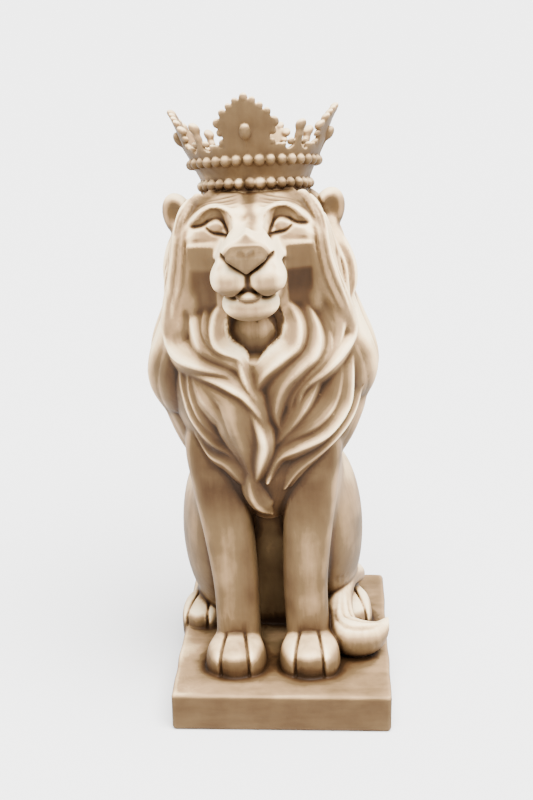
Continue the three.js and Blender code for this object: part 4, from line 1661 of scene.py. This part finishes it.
@dataclass(frozen=True)
class AntiquedResinWithPaintedLight:
    """Ivory resin with a brown wash left in its hollows, lighter where it looks up: dry-brushed paint and
    painted light from above.

    The colour follows the tone of each place on the casting, painted light and shade included, varied by soft
    noise and brush streaks.
    """

    steps: Sequence[tuple[float, Point]] = (
        (0.0, (0.98, 0.785, 0.475)), (0.16, (0.72, 0.498, 0.258)), (0.32, (0.312, 0.193, 0.096)),
        (0.5, (0.105, 0.064, 0.028)), (0.75, (0.044, 0.021, 0.0075)), (1.0, (0.016, 0.007, 0.002)),
    )
    patch_weight: float = 0.26
    patch_scale: float = 60.0
    cloud_weight: float = 0.16
    cloud_scale: float = 15.0
    streak_weight: float = 0.13
    streak_scale: float = 0.55
    grain_scale: float = 240.0
    grain_depth: float = 0.0004
    grain_strength: float = 0.5
    roughness: float = 0.55
    shine: float = 0.1

    def material(self) -> bpy.types.Material:
        """Make the finish.

        Returns:
            A material whose colour follows the tone.
        """
        made = bpy.data.materials.new("antiqued_resin")
        made.use_nodes = True
        tree = made.node_tree
        shader = tree.nodes["Principled BSDF"]
        shader.inputs["Roughness"].default_value = self.roughness
        shader.inputs["Specular IOR Level"].default_value = self.shine
        place = tree.nodes.new("ShaderNodeTexCoord").outputs["Object"]
        flow = self.attribute(tree, "flow").outputs["Vector"]
        parts = [
            (self.attribute(tree, "tone").outputs["Fac"], 1.0),
            (self.noise(tree, place, self.patch_scale, 4.0), self.patch_weight),
            (self.noise(tree, place, self.cloud_scale, 2.0), self.cloud_weight),
            (self.noise(tree, flow, self.streak_scale, 4.0), self.streak_weight),
        ]
        offset = -0.5 * (self.patch_weight + self.cloud_weight + self.streak_weight)
        bump = tree.nodes.new("ShaderNodeBump")
        bump.inputs["Strength"].default_value = self.grain_strength
        bump.inputs["Distance"].default_value = self.grain_depth
        tree.links.new(self.noise(tree, place, self.grain_scale, 3.0), bump.inputs["Height"])
        tree.links.new(bump.outputs["Normal"], shader.inputs["Normal"])
        tone = tree.nodes.new("ShaderNodeValToRGB")
        self.colours(tone.color_ramp)
        tree.links.new(self.total(tree, parts, offset), tone.inputs["Fac"])
        tree.links.new(tone.outputs["Color"], shader.inputs["Base Color"])
        return made

    def colours(self, ramp: bpy.types.ColorRamp) -> None:
        """Set the colours that the tone runs through.

        Args:
            ramp: The ramp to fill.
        """
        for element, (place, colour) in zip(ramp.elements, (self.steps[0], self.steps[-1])):
            element.position = place
            element.color = (*colour, 1)
        for place, colour in self.steps[1:-1]:
            ramp.elements.new(place).color = (*colour, 1)

    @staticmethod
    def attribute(tree: bpy.types.NodeTree, name: str) -> bpy.types.Node:
        """Node that carries one of the mesh's own values.

        Args:
            tree: The material's nodes.
            name: Name of the value.

        Returns:
            The new node.
        """
        node = tree.nodes.new("ShaderNodeAttribute")
        node.attribute_name = name
        return node

    @staticmethod
    def noise(
        tree: bpy.types.NodeTree, place: bpy.types.NodeSocket, scale: float, detail: float
    ) -> bpy.types.NodeSocket:
        """Soft noise over places.

        Args:
            tree: The material's nodes.
            place: Socket with the places.
            scale: Patches to a unit of length.
            detail: Finer layers added.

        Returns:
            The socket with the noise, from 0 to 1.
        """
        node = tree.nodes.new("ShaderNodeTexNoise")
        node.inputs["Scale"].default_value = scale
        node.inputs["Detail"].default_value = detail
        tree.links.new(place, node.inputs["Vector"])
        return node.outputs["Fac"]

    @staticmethod
    def total(
        tree: bpy.types.NodeTree, parts: Sequence[tuple[bpy.types.NodeSocket, float]], offset: float
    ) -> bpy.types.NodeSocket:
        """Weighted sum of several values and an offset.

        Args:
            tree: The material's nodes.
            parts: Sockets with the values, and their weights.
            offset: Amount added once.

        Returns:
            The socket with the sum.
        """
        last = None
        for socket, weight in parts:
            node = tree.nodes.new("ShaderNodeMath")
            node.operation = "MULTIPLY_ADD"
            tree.links.new(socket, node.inputs[0])
            node.inputs[1].default_value = weight
            node.inputs[2].default_value = offset
            if last is not None:
                tree.links.new(last, node.inputs[2])
            last = node.outputs[0]
        return last


@dataclass(frozen=True)
class Studio:
    """Pale floor, soft light and the camera."""

    floor_half: float = 30.0
    floor_colour: Point = (0.9, 0.9, 0.9)
    floor_roughness: float = 0.9
    camera_place: Point = (0.0279, -0.7046, 0.4094)
    camera_turns: Sequence[tuple[float, str]] = ((2.983, "Z"), (70.776, "X"), (-0.979, "Z"))
    lens: float = 61.2
    surround: float = 0.6
    horizon: float = 4.1
    horizon_band: Flat = (0.1, 0.28)
    overhead: float = 15.0
    overhead_tilt: Point = (20.0, 10.0, 0.0)
    softness: float = 55.0

    def build(self) -> None:
        """Set up the floor, the lights and the camera."""
        self.floor()
        self.lights()
        self.camera()

    def floor(self) -> None:
        """Lay a wide pale floor."""
        mesh = bpy.data.meshes.new("floor")
        size = self.floor_half
        rim = [(-size, -size, 0), (size, -size, 0), (size, size, 0), (-size, size, 0)]
        mesh.from_pydata(rim, [], [(0, 1, 2, 3)])
        floor = bpy.data.objects.new("floor", mesh)
        bpy.context.scene.collection.objects.link(floor)
        paint = bpy.data.materials.new("pale_floor")
        paint.use_nodes = True
        shader = paint.node_tree.nodes["Principled BSDF"]
        shader.inputs["Base Color"].default_value = (*self.floor_colour, 1)
        shader.inputs["Roughness"].default_value = self.floor_roughness
        mesh.materials.append(paint)

    def lights(self) -> None:
        """Hang a broad soft light overhead, a little to one side, in a surround pale at the horizon."""
        world = bpy.data.worlds.new("studio")
        bpy.context.scene.world = world
        world.use_nodes = True
        tree = world.node_tree
        sky = tree.nodes["Background"]
        sky.inputs["Color"].default_value = (1, 1, 1, 1)
        split = tree.nodes.new("ShaderNodeSeparateXYZ")
        fall = tree.nodes.new("ShaderNodeMapRange")
        names = ("From Min", "From Max", "To Min", "To Max")
        for name, value in zip(names, (*self.horizon_band, self.horizon, self.surround)):
            fall.inputs[name].default_value = value
        tree.links.new(tree.nodes.new("ShaderNodeTexCoord").outputs["Generated"], split.inputs[0])
        tree.links.new(split.outputs["Z"], fall.inputs["Value"])
        tree.links.new(fall.outputs["Result"], sky.inputs["Strength"])
        lamp = bpy.data.lights.new("overhead", "SUN")
        lamp.energy = self.overhead
        lamp.angle = math.radians(self.softness)
        holder = bpy.data.objects.new("overhead", lamp)
        holder.rotation_euler = [math.radians(angle) for angle in self.overhead_tilt]
        bpy.context.scene.collection.objects.link(holder)

    def camera(self) -> None:
        """Stand the camera where the photograph was taken from."""
        lens = bpy.data.cameras.new("camera")
        lens.lens = self.lens
        holder = bpy.data.objects.new("camera", lens)
        holder.location = self.camera_place
        turn = Matrix.Identity(3)
        for angle, axis in self.camera_turns:
            turn = turn @ Matrix.Rotation(math.radians(angle), 3, axis)
        holder.rotation_euler = turn.to_euler()
        bpy.context.scene.collection.objects.link(holder)
        bpy.context.scene.camera = holder


def main() -> None:
    """Load the frame, build the statue and the studio, and log the statue's face count."""
    logging.basicConfig(level=logging.INFO, format="%(name)s: %(message)s")
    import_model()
    piece = Casting().build()
    piece.data.materials.append(AntiquedResinWithPaintedLight().material())
    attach(piece, "root")
    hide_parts("crowned_lion")
    LOG.info("%s has %d faces", piece.name, len(piece.data.polygons))
    Studio().build()


if __name__ == "__main__":
    main()
